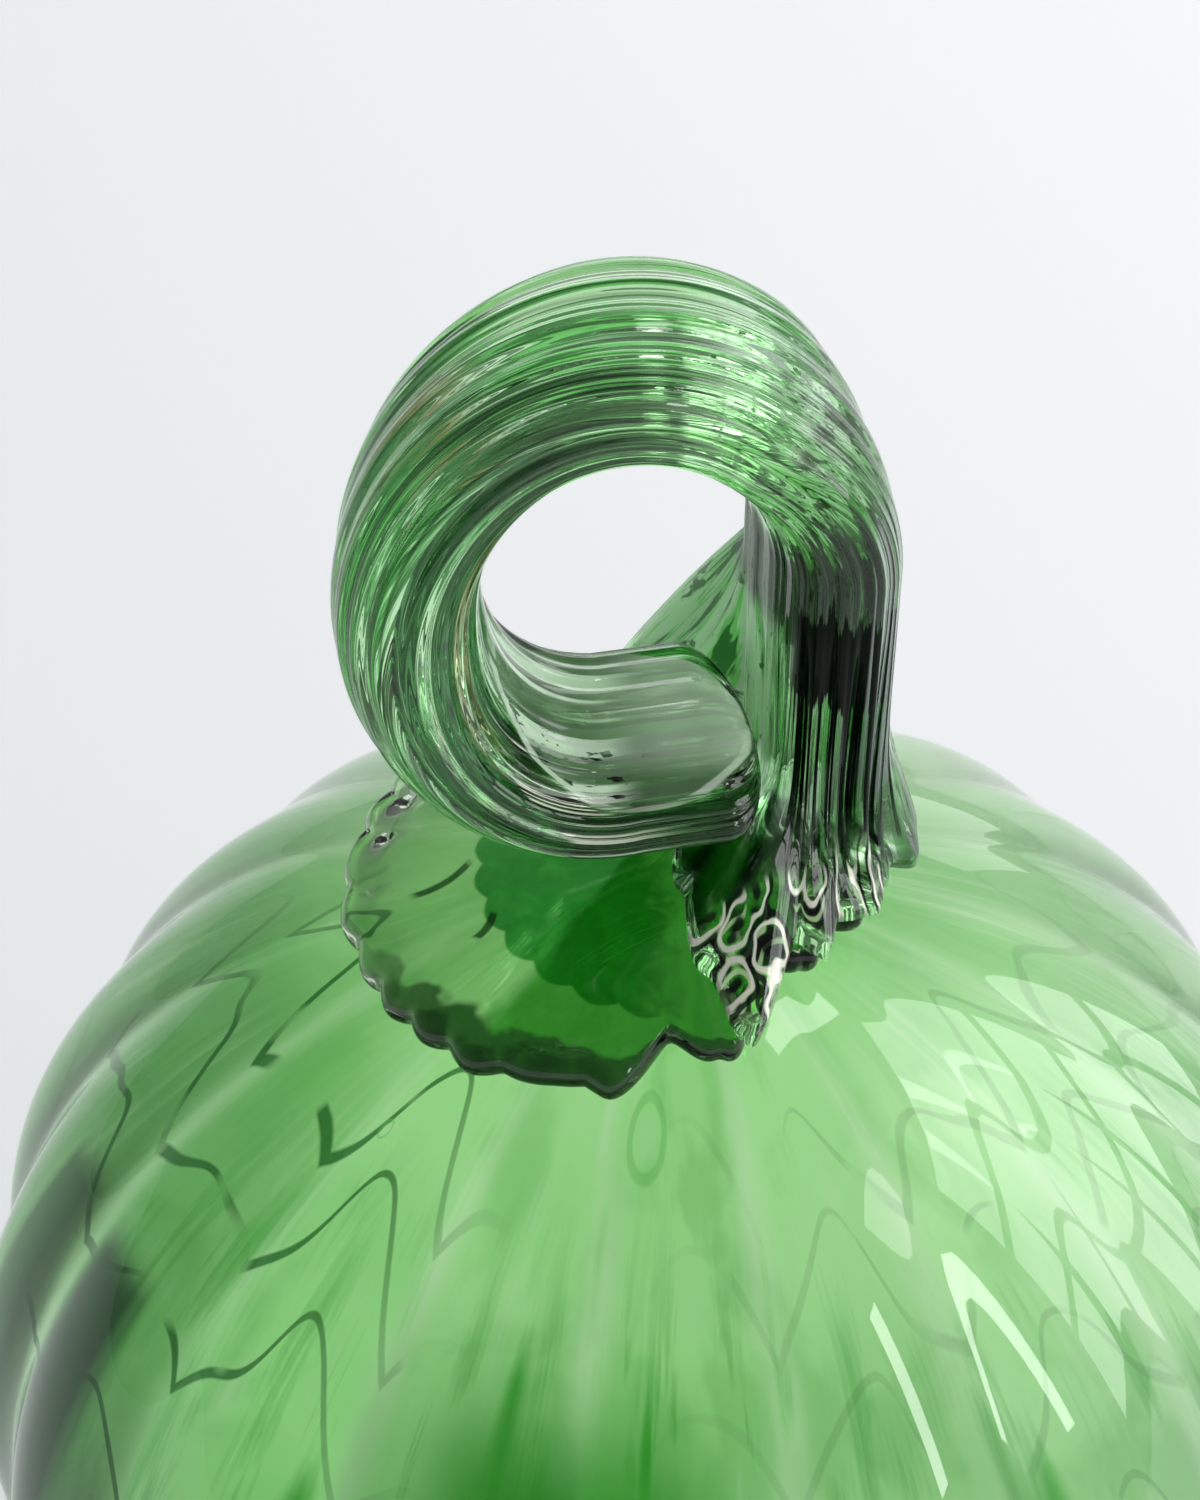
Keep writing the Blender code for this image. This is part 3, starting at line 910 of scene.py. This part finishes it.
def body_colour(body):
    """Milky green, with painted shade greyer to the left, painted light to the right, and pale
    streaks down the valleys between the ribs.
    """
    left = body.azimuth.facing(*SHADED_LEFT_SIDE) * body.down(*SHADED_LEFT_FALL)
    right = body.azimuth.facing(*LIT_RIGHT_SIDE) * body.down(*LIT_RIGHT_FALL)
    wisps = body.noise(*WISP_NOISE)
    bands = wisps.step(0.48, 0.38) * body.down(*BAND_FALL)
    streaks = body.rib.step(0.50, 0.0) * wisps.step(0.34, 0.60) * 0.95
    # Painted dark reflection in a wedge at the far left
    wedge = body.azimuth.band(*WEDGE_AZIMUTHS) * body.down(*WEDGE_TOP) * body.rib.step(0.2, 0.6)
    return body.nodes.layers(
        BODY_CENTRE,
        # Painted shade at the left and far right, painted light at the right
        (left, BODY_SHADED_LEFT), (right, BODY_LIT_RIGHT),
        (body.azimuth.facing(*SHADED_FAR_RIGHT) * 0.5, BODY_SHADED_LEFT),
        (bands * 0.55, BODY_DEEP), (body.noise(*CLOUD_NOISE).step(0.50, 0.38) * 0.25, BODY_DEEP),
        (highest(streaks, wisps.step(0.56, 0.74)), BODY_PALE),
        # The wedge is a painted dark reflection, the front and its tongues painted shade
        (wedge, DARK_REFLECTION_GREY), (painted_front_shade(body) * 0.9, BODY_DEEP),
    )


def body_outside():
    nodes = Nodes(bpy.data.materials.new("body_glass_outside"))
    body = BodyPlaces(nodes)
    outline, lens = seed_marks(body)
    # The dark lines over the ribs are painted reflections
    tint = nodes.layers(
        body_colour(body),
        (reflected_dark_lines(body), REFLECTED_LINE_GREEN), (lens * 0.6, BODY_PALE), (outline * 0.5, BODY_DEEP),
    )
    return nodes.glass(tint, BODY_SHADE, GLOSSY)


def body_inside():
    nodes = Nodes(bpy.data.materials.new("body_glass_inside"))
    return nodes.glass(body_colour(BodyPlaces(nodes)), BODY_SHADE, INSIDE_ROUGHNESS)


# The foot's glass

FOOT_CLEAR = (0.60, 0.71, 0.56, 1)
# The front and rim tints are painted shade; the rim tint also colours the chill marks
FOOT_FRONT_SHADE = (0.03, 0.23, 0.02, 1)
# Painted light: the paler glass behind the trunk
FOOT_REAR_LIGHT = (0.94, 1.0, 0.92, 1)
FOOT_RIM_SHADE_AND_MARKS = (0.006, 0.03, 0.006, 1)
FOOT_PATCH = (0.003, 0.13, 0.008, 1)
FOOT_PATCH_PALE = (0.008, 0.20, 0.015, 1)
FOOT_SHADE = (0.75, 0.9, 0.75, 1)
PATCH_SCALLOPS = 26
PATCH_SCALLOP_DEPTH = 0.9 * MM
PATCH_EDGE = 0.2 * MM
FUSED_ROUGHNESS = 0.03

# Where the pad's glass changes in plan: the paler rear, which is painted light, and the patch's thin
# right and rear
REAR_START = (0.0, 7 * MM)
REAR_LEFT = (-14 * MM, -7 * MM)
PATCH_RIGHT = (6 * MM, 1 * MM)
PATCH_REAR = (12 * MM, 4 * MM)
PATCH_DRIFT = 9 * MM

# Noise in the pad: scale, detail, roughness and warp
PATCH_NOISE = (220.0, 3.0, 0.55, 0.8)
RIM_NOISE = (260.0, 2.0)

# The painted shade at the rim: how wide it is, how much wider at the left, and where it and the
# painted shade at the deep front lie
RIM_WIDTH = 0.9 * MM
RIM_LEFT_WIDTH = 2.7 * MM
RIM_LEFT = (-130, 38)
RIM_FRONT = (-104, 66)
SHADED_FRONT = (math.radians(-124), math.radians(-40), math.radians(6))

# The crescents that the shears left on the pad: the ends of each, and how far it bows, in mm
CHILL_MARKS = (((-25.6, -4.5), (-19.3, -0.7), 0.9), ((-19.0, -11.3), (-17.1, -8.2), 0.5))
CHILL_HALF_WIDTH = 0.6 * MM


def chill_marks(x, y):
    marks = 0.0
    for start, end, bow in CHILL_MARKS:
        start = Vector(start) * MM
        end = Vector(end) * MM
        along = end - start
        length = along.length
        along.normalize()
        offset_x = x - start.x
        offset_y = y - start.y
        share = (offset_x * along.x + offset_y * along.y) / length
        across = offset_y * along.x - offset_x * along.y
        arc = share * (1.0 - share) * (-4 * bow * MM)
        line = (across - arc).line(CHILL_HALF_WIDTH)
        marks = highest(line * share.band(0.15, 0.85, 0.15), marks)
    return marks


def painted_rim_and_front_shade(nodes, x, y, z):
    """How far a point lies in the painted shade at the rim, which is widest at the left, and in the
    painted shade at the deep front.
    """
    from_rim = nodes.kept("rim")[0]
    heading = direction(x, y)
    wobble = nodes.noise(nodes.combine(x, y, z), *RIM_NOISE)
    width = (heading.facing(*RIM_LEFT) * RIM_LEFT_WIDTH + RIM_WIDTH) * wobble.step(0.3, 0.7, 0.7, 1.3)
    rim = (from_rim / width).step(1.0, 0.7) * heading.facing(*RIM_FRONT).step(0.0, 1.0, 0.55)
    edge = heading + wobble * 0.12
    return rim, edge.band(*SHADED_FRONT)


def foot_clear(nodes, x, y):
    """The pad's plain glass, with painted light that makes it paler behind the trunk."""
    rear = y.step(*REAR_START) * x.step(*REAR_LEFT)
    return nodes.mix(rear, FOOT_CLEAR, FOOT_REAR_LIGHT)


def foot_top_glass():
    nodes = Nodes(bpy.data.materials.new("foot_glass_top"))
    x, y, z = nodes.place()
    rim, deep = painted_rim_and_front_shade(nodes, x, y, z)
    tint = nodes.layers(
        foot_clear(nodes, x, y),
        # Painted shade at the deep front and at the rim; the chill marks are the pad's own
        (deep, FOOT_FRONT_SHADE), (highest(rim, chill_marks(x, y)), FOOT_RIM_SHADE_AND_MARKS),
    )
    return nodes.glass(tint, FOOT_SHADE, GLOSSY)


def foot_under_glass():
    """The fused face of the pad: a deep patch with a scalloped edge, which thins out to the right."""
    nodes = Nodes(bpy.data.materials.new("foot_glass_under"))
    x, y, z = nodes.place()
    rim, deep = painted_rim_and_front_shade(nodes, x, y, z)
    from_middle = x - FLANGE_SHIFT
    heading = direction(from_middle, y)
    scallop = abs((heading * (PATCH_SCALLOPS / 2)).sin())
    reach = distance(from_middle, y) - scallop * PATCH_SCALLOP_DEPTH
    patch = reach.step(FUSED_RADIUS + PATCH_EDGE, FUSED_RADIUS - PATCH_EDGE)
    cloud = nodes.noise(nodes.combine(x, y, 0.0), *PATCH_NOISE)
    thin = (x + cloud * PATCH_DRIFT).step(*PATCH_RIGHT) * y.step(*PATCH_REAR)
    tint = nodes.layers(
        foot_clear(nodes, x, y),
        # Painted shade at the deep front and at the rim
        (deep * 0.5, FOOT_FRONT_SHADE), (rim * 0.8, FOOT_RIM_SHADE_AND_MARKS),
        (patch * thin, nodes.mix(cloud.step(0.45, 0.70), FOOT_PATCH, FOOT_PATCH_PALE)),
    )
    return nodes.glass(tint, FOOT_SHADE, FUSED_ROUGHNESS)


# The curl's glass

CURL_MID = (0.09, 0.51, 0.075, 1)
CURL_TOP = (0.54, 0.86, 0.46, 1)
CURL_PALE = (0.82, 0.98, 0.77, 1)
CURL_CLEAR = (0.90, 0.96, 0.90, 1)
CURL_DARK = (0.006, 0.05, 0.008, 1)
CURL_BLACK = (0.0015, 0.003, 0.002, 1)
CURL_BROWN = (0.14, 0.09, 0.03, 1)
# Cream of the painted highlights on the web and below the tail
CURL_HIGHLIGHT_CREAM = (0.96, 0.95, 0.82, 1)
# Grey of the painted reflections on the trunk
CURL_REFLECTION_GREY = (0.52, 0.56, 0.55, 1)
TAIL_GREY = (0.62, 0.68, 0.59, 1)
TAIL_LINE = (0.86, 0.95, 0.83, 1)
FAN_PALE = (0.95, 1.0, 0.94, 1)
FAN_GREEN = (0.20, 0.66, 0.17, 1)
WEB_GREEN = (0.55, 0.85, 0.45, 1)
TRUNK_GREEN = (0.10, 0.44, 0.07, 1)
# Painted shade on the tail's face
TAIL_SHADE = (0.11, 0.19, 0.10, 1)
CURL_SHADE = (0.88, 0.96, 0.88, 1)
CURL_VOLUME = ((0.30, 0.85, 0.30, 1), 20.0)

# Where the glass isn't clear: how much light it scatters, how rough it is and how it shines
MILKY_FACE = 0.75
MILKY_GLINT = 0.92
MILKY_FAN = 0.05
MILKY_BLACK = 0.97
FAN_ROUGHNESS = 0.35
BLACK_GLOSS = 0.05

# Streaks in the rod's glass: how busy they are across it and along it
WIDE_STREAKS = (420.0, 7.0)
FINE_STREAKS = (1400.0, 9.0)
FLECKS = (900.0, 260.0)
FAN_STRANDS = (2600.0, 70.0)

# Their noise: scale, detail, roughness and warp
STREAK_NOISE = (1.0, 3.0, 0.6, 0.15)

# Stretches of the curl's path from the foot: start, end and soft edge
WEB_SHADE = (3.5 * MM, 12 * MM, 1.2 * MM)
DARK_STREAKS = (9 * MM, 28 * MM, 2 * MM)
# A patch and lines of painted reflection on the trunk
REFLECTED_PATCH = (13 * MM, 21 * MM, 3 * MM)
REFLECTED_LINES = (16 * MM, 42 * MM, 4 * MM)
# The black block and black flecks are painted shade
BLACK_BLOCK = (26 * MM, 36 * MM, 0.8 * MM)
MOTTLED_TRUNK = (36 * MM, 50 * MM, 4 * MM)
BLACK_FLECKS = (37 * MM, 52 * MM, 3 * MM)
CLEAR_SHOULDER = (46 * MM, 58 * MM, 5 * MM)
PALE_TOP = (50 * MM, 78 * MM, 9 * MM)
DARK_LOW_LEFT = (84 * MM, 116 * MM, 12 * MM)
BROWN_BAND = (86 * MM, 108 * MM, 8 * MM)
BLOCK_RAGGEDNESS = 10 * MM

# Where the trunk's glass changes in plan: from none to all of it
BLOCK_LEFT = (8.8 * MM, 10.6 * MM)
MOTTLED_LEFT = (7 * MM, 9.5 * MM)
STREAKS_REAR = (5 * MM, 0.0)
SHADE_REAR = (2 * MM, -5 * MM)
REFLECTION_REAR = (6 * MM, 3 * MM)
REFLECTION_RIGHT = (15.6 * MM, 17.0 * MM)
REFLECTION_SLANT = (7.2 * MM, 9.4 * MM, 1.2 * MM)
REFLECTION_DRIFT = 5 * MM

# The web's cells: how many to a turn, how long each one is, and how much they swirl
WEB_CELLS = 40
WEB_CELL_LENGTH = 6.5 * MM
WEB_SWIRL = 0.8
WEB_NOISE = (240.0, 1.0)

# Where the web starts: in plan across a line that slants back to the right, and up the claws
WEB_SLANT = 0.53
WEB_START = 13.6 * MM
WEB_EDGE = 1.4 * MM
WEB_TOP = (12 * MM, 10 * MM)

# Each cell's pale ring, a painted highlight, and dark ring, painted shade, as distances from its
# middle: start, end and soft edge
HIGHLIGHT_RING = (0.33, 0.38, 0.04)
SHADE_RING = (0.43, 0.50, 0.03)

# The fan's limits: below a stretch of the path, behind the claws and on the rod's back
FAN_TOP = (46 * MM, 38 * MM)
FAN_FRONT = (-4 * MM, 1 * MM)
FAN_BACK = (-0.42 * GRAIN_RADIUS, -0.18 * GRAIN_RADIUS)

# The tail's flattened face in plan: the middle and the half sizes of its oval
PADDLE_X = -5.3 * MM
PADDLE_Y = -1.0 * MM
PADDLE_HALF_LENGTH = 12.2 * MM
PADDLE_HALF_WIDTH = 10.1 * MM
PADDLE_START = (96 * MM, 100 * MM)
BELOW_START = (108 * MM, 116 * MM)
LIP_SHARE = 0.955
LIP_HALF_WIDTH = 0.04
PADDLE_EDGE = (1.01, 0.97)
BELOW_BAND = (1.03, 1.30, 0.05)

# Where the face's marks start in plan: from none to all of them
LIP_REAR = (1 * MM, -4 * MM)
LINES_RIGHT = (-3 * MM, -7 * MM)
PITS_REAR = (-3 * MM, -6 * MM)
PITS_RIGHT = (-2 * MM, -6 * MM)
DARK_FRONT = (-3 * MM, -8 * MM)
DARK_LEFT = (0.0, -10 * MM)
BELOW_REAR = (-4 * MM, -7 * MM)
CREAM_RIGHT = (2 * MM, -5 * MM, 0.15)


class CurlPlaces:
    """Where a point lies on the curl, and the streaks that its glass was drawn into."""

    def __init__(self, nodes):
        self.nodes = nodes
        self.x, self.y, self.z = nodes.place()
        self.back, self.outer, self.along = nodes.kept("grain")
        self.inner = self.outer * (-1 / GRAIN_RADIUS)
        self.wide = self.streaks(*WIDE_STREAKS)
        self.fine = self.streaks(*FINE_STREAKS)
        self.flecks = self.streaks(*FLECKS)

    def streaks(self, turn_scale, length_scale):
        vector = self.nodes.combine(
            self.back * turn_scale, self.outer * turn_scale, self.along * length_scale,
        )
        return self.nodes.noise(vector, *STREAK_NOISE)

    def stretch(self, limits):
        """1 over a stretch of the curl's path."""
        return self.along.band(*limits)


def drawn_glass(curl):
    """The rod's own glass: long pale and dark streaks, paler over the top, clear at its right."""
    top = curl.stretch(PALE_TOP) * curl.inner.step(0.5, -0.1)
    clear = curl.stretch(CLEAR_SHOULDER) * curl.inner.step(-0.3, -0.7)
    low_left = curl.stretch(DARK_LOW_LEFT) * curl.inner.step(-0.4, 0.3)
    brown = curl.stretch(BROWN_BAND) * curl.inner.band(0.72, 0.84, 0.06)
    return curl.nodes.layers(
        curl.nodes.mix(top, CURL_MID, CURL_TOP),
        (curl.wide.step(0.50, 0.57), CURL_PALE),
        (curl.wide.step(0.46, 0.40) * 0.95, CURL_DARK),
        (curl.fine.step(0.56, 0.59) * 0.9, CURL_DARK),
        (curl.fine.step(0.41, 0.38) * 0.9, CURL_PALE),
        (clear * 0.75, CURL_CLEAR),
        (low_left * curl.wide.step(0.56, 0.50), CURL_DARK),
        (brown * curl.fine.step(0.40, 0.52), CURL_BROWN),
    )


def painted_trunk_shade(curl):
    """Painted shade for the dark that the thick trunk bends into view, over its own deep green: a
    block, flecks above and streaks below, and shade over the claws at the front.
    """
    ragged = (curl.fine - 0.5) * BLOCK_RAGGEDNESS
    block = (curl.along + ragged).band(*BLACK_BLOCK) * curl.x.step(*BLOCK_LEFT)
    flecks = curl.stretch(BLACK_FLECKS) * curl.flecks.step(0.56, 0.62) * 0.8
    streaks = curl.stretch(DARK_STREAKS) * curl.fine.step(0.49, 0.54) * curl.y.step(*STREAKS_REAR)
    shade = curl.stretch(WEB_SHADE) * curl.y.step(*SHADE_REAR) * 0.9
    return highest(block, flecks, streaks, shade)


def trunk_reflections(curl):
    """Painted reflections: pale grey patches low on the trunk's right and thin lines up its right
    edge.
    """
    slant = curl.x - curl.along * 0.5 + curl.wide * REFLECTION_DRIFT
    patch = curl.stretch(REFLECTED_PATCH) * slant.band(*REFLECTION_SLANT) * curl.fine.step(0.56, 0.46) * 0.6
    lines = curl.stretch(REFLECTED_LINES) * curl.x.step(*REFLECTION_RIGHT) * curl.fine.step(0.50, 0.44)
    return highest(patch, lines) * curl.y.step(*REFLECTION_REAR)


def web_glints_and_shade(curl):
    """The web between the claws: cells of clear glass, each with painted shade in its middle and an
    outer dark ring, and a pale ring of painted highlight between.
    """
    outwards = curl.x * WEB_SLANT - curl.y
    web = outwards.step(WEB_START, WEB_START + WEB_EDGE) * curl.along.step(*WEB_TOP)
    axis = arc_point(0)
    from_x = curl.x - axis.x
    from_y = curl.y - axis.y
    swirl = curl.nodes.noise(curl.nodes.combine(curl.x, curl.y, curl.z), *WEB_NOISE)
    turn = direction(from_x, from_y) * (WEB_CELLS / (2 * math.pi)) + swirl * WEB_SWIRL
    reach = distance(from_x, from_y) * (1 / WEB_CELL_LENGTH)
    cells = curl.nodes.node(
        "TexVoronoi",
        {"Vector": curl.nodes.combine(turn, reach, 0.0), "Scale": 1.0, "Smoothness": 0.25,
         "Randomness": 0.8},
        voronoi_dimensions="2D", feature="SMOOTH_F1",
    )
    ring = Value(curl.nodes, cells.outputs["Distance"])
    glint = web * ring.band(*HIGHLIGHT_RING)
    dark = highest(ring.band(*SHADE_RING), ring.step(0.20, 0.10))
    # Painted shade in the dark middles and rings, painted highlights in the pale rings
    tint = curl.nodes.layers(WEB_GREEN, (dark, CURL_BLACK), (glint, CURL_HIGHLIGHT_CREAM))
    return web, tint, glint


def fan_glass(curl):
    """The fan behind the tail and the trunk's back: pale glass in fine ridges that draw together."""
    fan = curl.along.step(*FAN_TOP) * curl.y.step(*FAN_FRONT) * curl.back.step(*FAN_BACK)
    strands = curl.streaks(*FAN_STRANDS)
    tint = curl.nodes.layers(
        FAN_PALE,
        (strands.step(0.49, 0.54), FAN_GREEN),
        (strands.step(0.56, 0.60), CURL_DARK),
        (curl.flecks.step(0.61, 0.66), CURL_DARK),
    )
    return fan, tint


def paddle_glass(curl):
    """The tail's flattened face: grey glass, painted shade to the front and left, pale curved lines,
    dark pits and a pale lip.

    Also painted shade just below it, with painted highlights in cream streaks.
    """
    away_x = (curl.x - PADDLE_X) / PADDLE_HALF_LENGTH
    away_y = (curl.y - PADDLE_Y) / PADDLE_HALF_WIDTH
    oval = distance(away_x, away_y)
    upper = curl.along.step(*PADDLE_START) * curl.inner.step(0.0, 0.2)
    paddle = oval.step(*PADDLE_EDGE) * upper
    lip = (oval - LIP_SHARE).line(LIP_HALF_WIDTH)
    lip = lip * curl.y.step(*LIP_REAR) * curl.fine.step(0.36, 0.48)
    lines = curl.wide.step(0.50, 0.55) * curl.x.step(*LINES_RIGHT)
    pits = curl.flecks.step(0.54, 0.58) * curl.y.step(*PITS_REAR) * curl.x.step(*PITS_RIGHT)
    # Painted shade to the front and left of the face
    shaded = highest(curl.y.step(*DARK_FRONT), curl.x.step(*DARK_LEFT))
    face = curl.nodes.layers(
        TAIL_GREY,
        (shaded, TAIL_SHADE), (lines, TAIL_LINE), (pits, CURL_BLACK), (lip * 0.8, TAIL_LINE),
    )
    # Painted shade below the face, with painted highlights in cream streaks
    below = oval.band(*BELOW_BAND) * curl.along.step(*BELOW_START) * curl.y.step(*BELOW_REAR)
    cream = below * curl.x.step(*CREAM_RIGHT) * curl.fine.step(0.45, 0.41)
    return paddle, face, below, cream


def curl_glass():
    nodes = Nodes(bpy.data.materials.new("curl_glass"))
    curl = CurlPlaces(nodes)
    mottled = curl.stretch(MOTTLED_TRUNK) * curl.x.step(*MOTTLED_LEFT) * 0.7
    # Painted shade in the trunk
    trunk_shade = painted_trunk_shade(curl)
    # Painted reflections on the trunk
    trunk_reflection = trunk_reflections(curl)
    # Painted highlights and shade on the web
    web, web_tint, glint = web_glints_and_shade(curl)
    fan, fan_tint = fan_glass(curl)
    paddle, face, below, cream = paddle_glass(curl)
    tint = nodes.layers(
        drawn_glass(curl),
        (mottled, TRUNK_GREEN), (trunk_shade * 0.98, CURL_BLACK), (trunk_reflection, CURL_REFLECTION_GREY),
        (web, web_tint), (fan, fan_tint), (paddle, face),
        (below * 0.9, CURL_BLACK), (cream, CURL_HIGHLIGHT_CREAM),
    )
    # The painted shade in the trunk is dull and milky, so it stays dark
    dull = trunk_shade * curl.along.step(9 * MM, 14 * MM) * (1.0 - trunk_reflection)
    milky = highest(
        highest(paddle, cream, trunk_reflection) * MILKY_FACE, glint * MILKY_GLINT, fan * MILKY_FAN,
        dull * MILKY_BLACK,
    )
    clearness = 1.0 - milky
    roughness = fan.step(0.0, 1.0, GLOSSY, FAN_ROUGHNESS)
    gloss = (dull - glint).step(-1.0, 1.0, 1.0, BLACK_GLOSS)
    return nodes.glass(tint, CURL_SHADE, roughness, clearness, gloss, CURL_VOLUME)


# Floor, light and camera

FLOOR_WHITE = (0.87, 0.885, 0.90, 1)
FLOOR_LIFT = 0.35
FLOOR_ROUGHNESS = 0.5
FLOOR_HALF_SIZE = 4.0
WORLD_WHITE = (0.95, 0.98, 1.0, 1)
WORLD_HORIZON = 0.70
WORLD_OVERHEAD = 0.15
WORLD_DARK_SHARE = 0.45


def build_floor():
    """A pale floor, lifted for what the camera and the glass see of it: it keeps its shadows."""
    nodes = Nodes(bpy.data.materials.new("pale_floor"))
    path = nodes.node("LightPath").outputs
    rays = ("Is Camera Ray", "Is Glossy Ray", "Is Transmission Ray")
    seen = highest(*[Value(nodes, path[ray]) for ray in rays])
    shader = nodes.node(
        "BsdfPrincipled",
        {"Base Color": FLOOR_WHITE, "Roughness": FLOOR_ROUGHNESS, "Emission Color": FLOOR_WHITE,
         "Emission Strength": seen * FLOOR_LIFT},
    )
    output = nodes.node("OutputMaterial")
    nodes.link(shader.outputs[0], output.inputs["Surface"])
    half = FLOOR_HALF_SIZE
    data = bpy.data.meshes.new("floor")
    corners = [(-half, -half, 0), (half, -half, 0), (half, half, 0), (-half, half, 0)]
    data.from_pydata(corners, [], [(0, 1, 2, 3)])
    data.materials.append(nodes.owner)
    add_object("floor", data)


def build_world():
    """A plain room: darker overhead, to the left and in front, brighter low down and elsewhere."""
    world = bpy.data.worlds.new("studio")
    nodes = Nodes(world)
    x, y, z = nodes.separate(nodes.node("TexCoord").outputs["Generated"])
    level = z.step(0.0, 0.9, WORLD_HORIZON, WORLD_OVERHEAD)
    side = x.step(-0.8, 0.6, WORLD_DARK_SHARE)
    front = y.step(-0.2, -0.9, 1.0, WORLD_DARK_SHARE)
    strength = level * side * front
    background = nodes.node("Background", {"Color": WORLD_WHITE, "Strength": strength})
    output = nodes.node("OutputWorld")
    nodes.link(background.outputs[0], output.inputs["Surface"])
    bpy.context.scene.world = world


# The window's panes: azimuths and elevations, then distance, width, height and brightness
WINDOW_AZIMUTHS = (28, 12, -4)
WINDOW_ELEVATIONS = (14, 31, 48)
WINDOW_PANE = (2.2, 0.50, 0.57, 3.6)
SOFTBOXES = [
    (f"window_{turn}_{lift}", turn, lift, *WINDOW_PANE)
    for turn in WINDOW_AZIMUTHS for lift in WINDOW_ELEVATIONS
]

# The other softboxes: azimuth, elevation, distance, width, height and brightness
SOFTBOXES += [
    ("strip", -36, 34, 1.8, 0.14, 1.0, 9.0),
    ("back", 85, 13, 2.6, 2.6, 0.8, 1.4),
    ("skylight", 50, 64, 1.6, 0.22, 0.32, 5.0),
]
LIGHT_TARGET = Vector((0, 0, 0.1))


def build_lights():
    for name, azimuth, elevation, distance, width, height, brightness in SOFTBOXES:
        turn = math.radians(azimuth)
        lift = math.radians(elevation)
        towards = Vector((
            math.cos(lift) * math.cos(turn), math.cos(lift) * math.sin(turn), math.sin(lift),
        ))
        light = bpy.data.lights.new(name, "AREA")
        light.shape = "RECTANGLE"
        light.size = width
        light.size_y = height
        light.energy = brightness * math.pi * width * height
        lamp = add_object(name, light)
        lamp.location = LIGHT_TARGET + towards * distance
        lamp.rotation_euler = (-towards).to_track_quat("-Z", "Y").to_euler()


CAMERA_PLACE = Vector((-7.2 * MM, -194.7 * MM, 289.5 * MM))
CAMERA_PITCH = math.radians(39.0)
CAMERA_LENS = 64.8
CAMERA_SENSOR = 36.0
CAMERA_NEAR = 0.01


def build_camera():
    data = bpy.data.cameras.new("camera")
    data.lens = CAMERA_LENS
    data.sensor_width = CAMERA_SENSOR
    data.clip_start = CAMERA_NEAR
    camera = add_object("camera", data)
    camera.location = CAMERA_PLACE
    camera.rotation_euler = (math.pi / 2 - CAMERA_PITCH, 0, 0)
    bpy.context.scene.camera = camera


body = build_body(body_outside(), body_inside())
foot = build_foot(foot_top_glass(), foot_under_glass())
curl = build_curl(curl_glass())
for piece, node, slot in (
    (body, "glass_body", "body_glass"),
    (foot, "stem_foot", "foot_glass"),
    (curl, "stem_curl", "stem_glass"),
):
    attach(piece, "root")
    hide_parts(node)
build_floor()
build_world()
build_lights()
build_camera()
scene = bpy.context.scene
scene.view_settings.view_transform = "Standard"
scene.cycles.caustics_refractive = False
scene.cycles.caustics_reflective = False
scene.cycles.max_bounces = 18
scene.cycles.transmission_bounces = 16
scene.cycles.transparent_max_bounces = 18
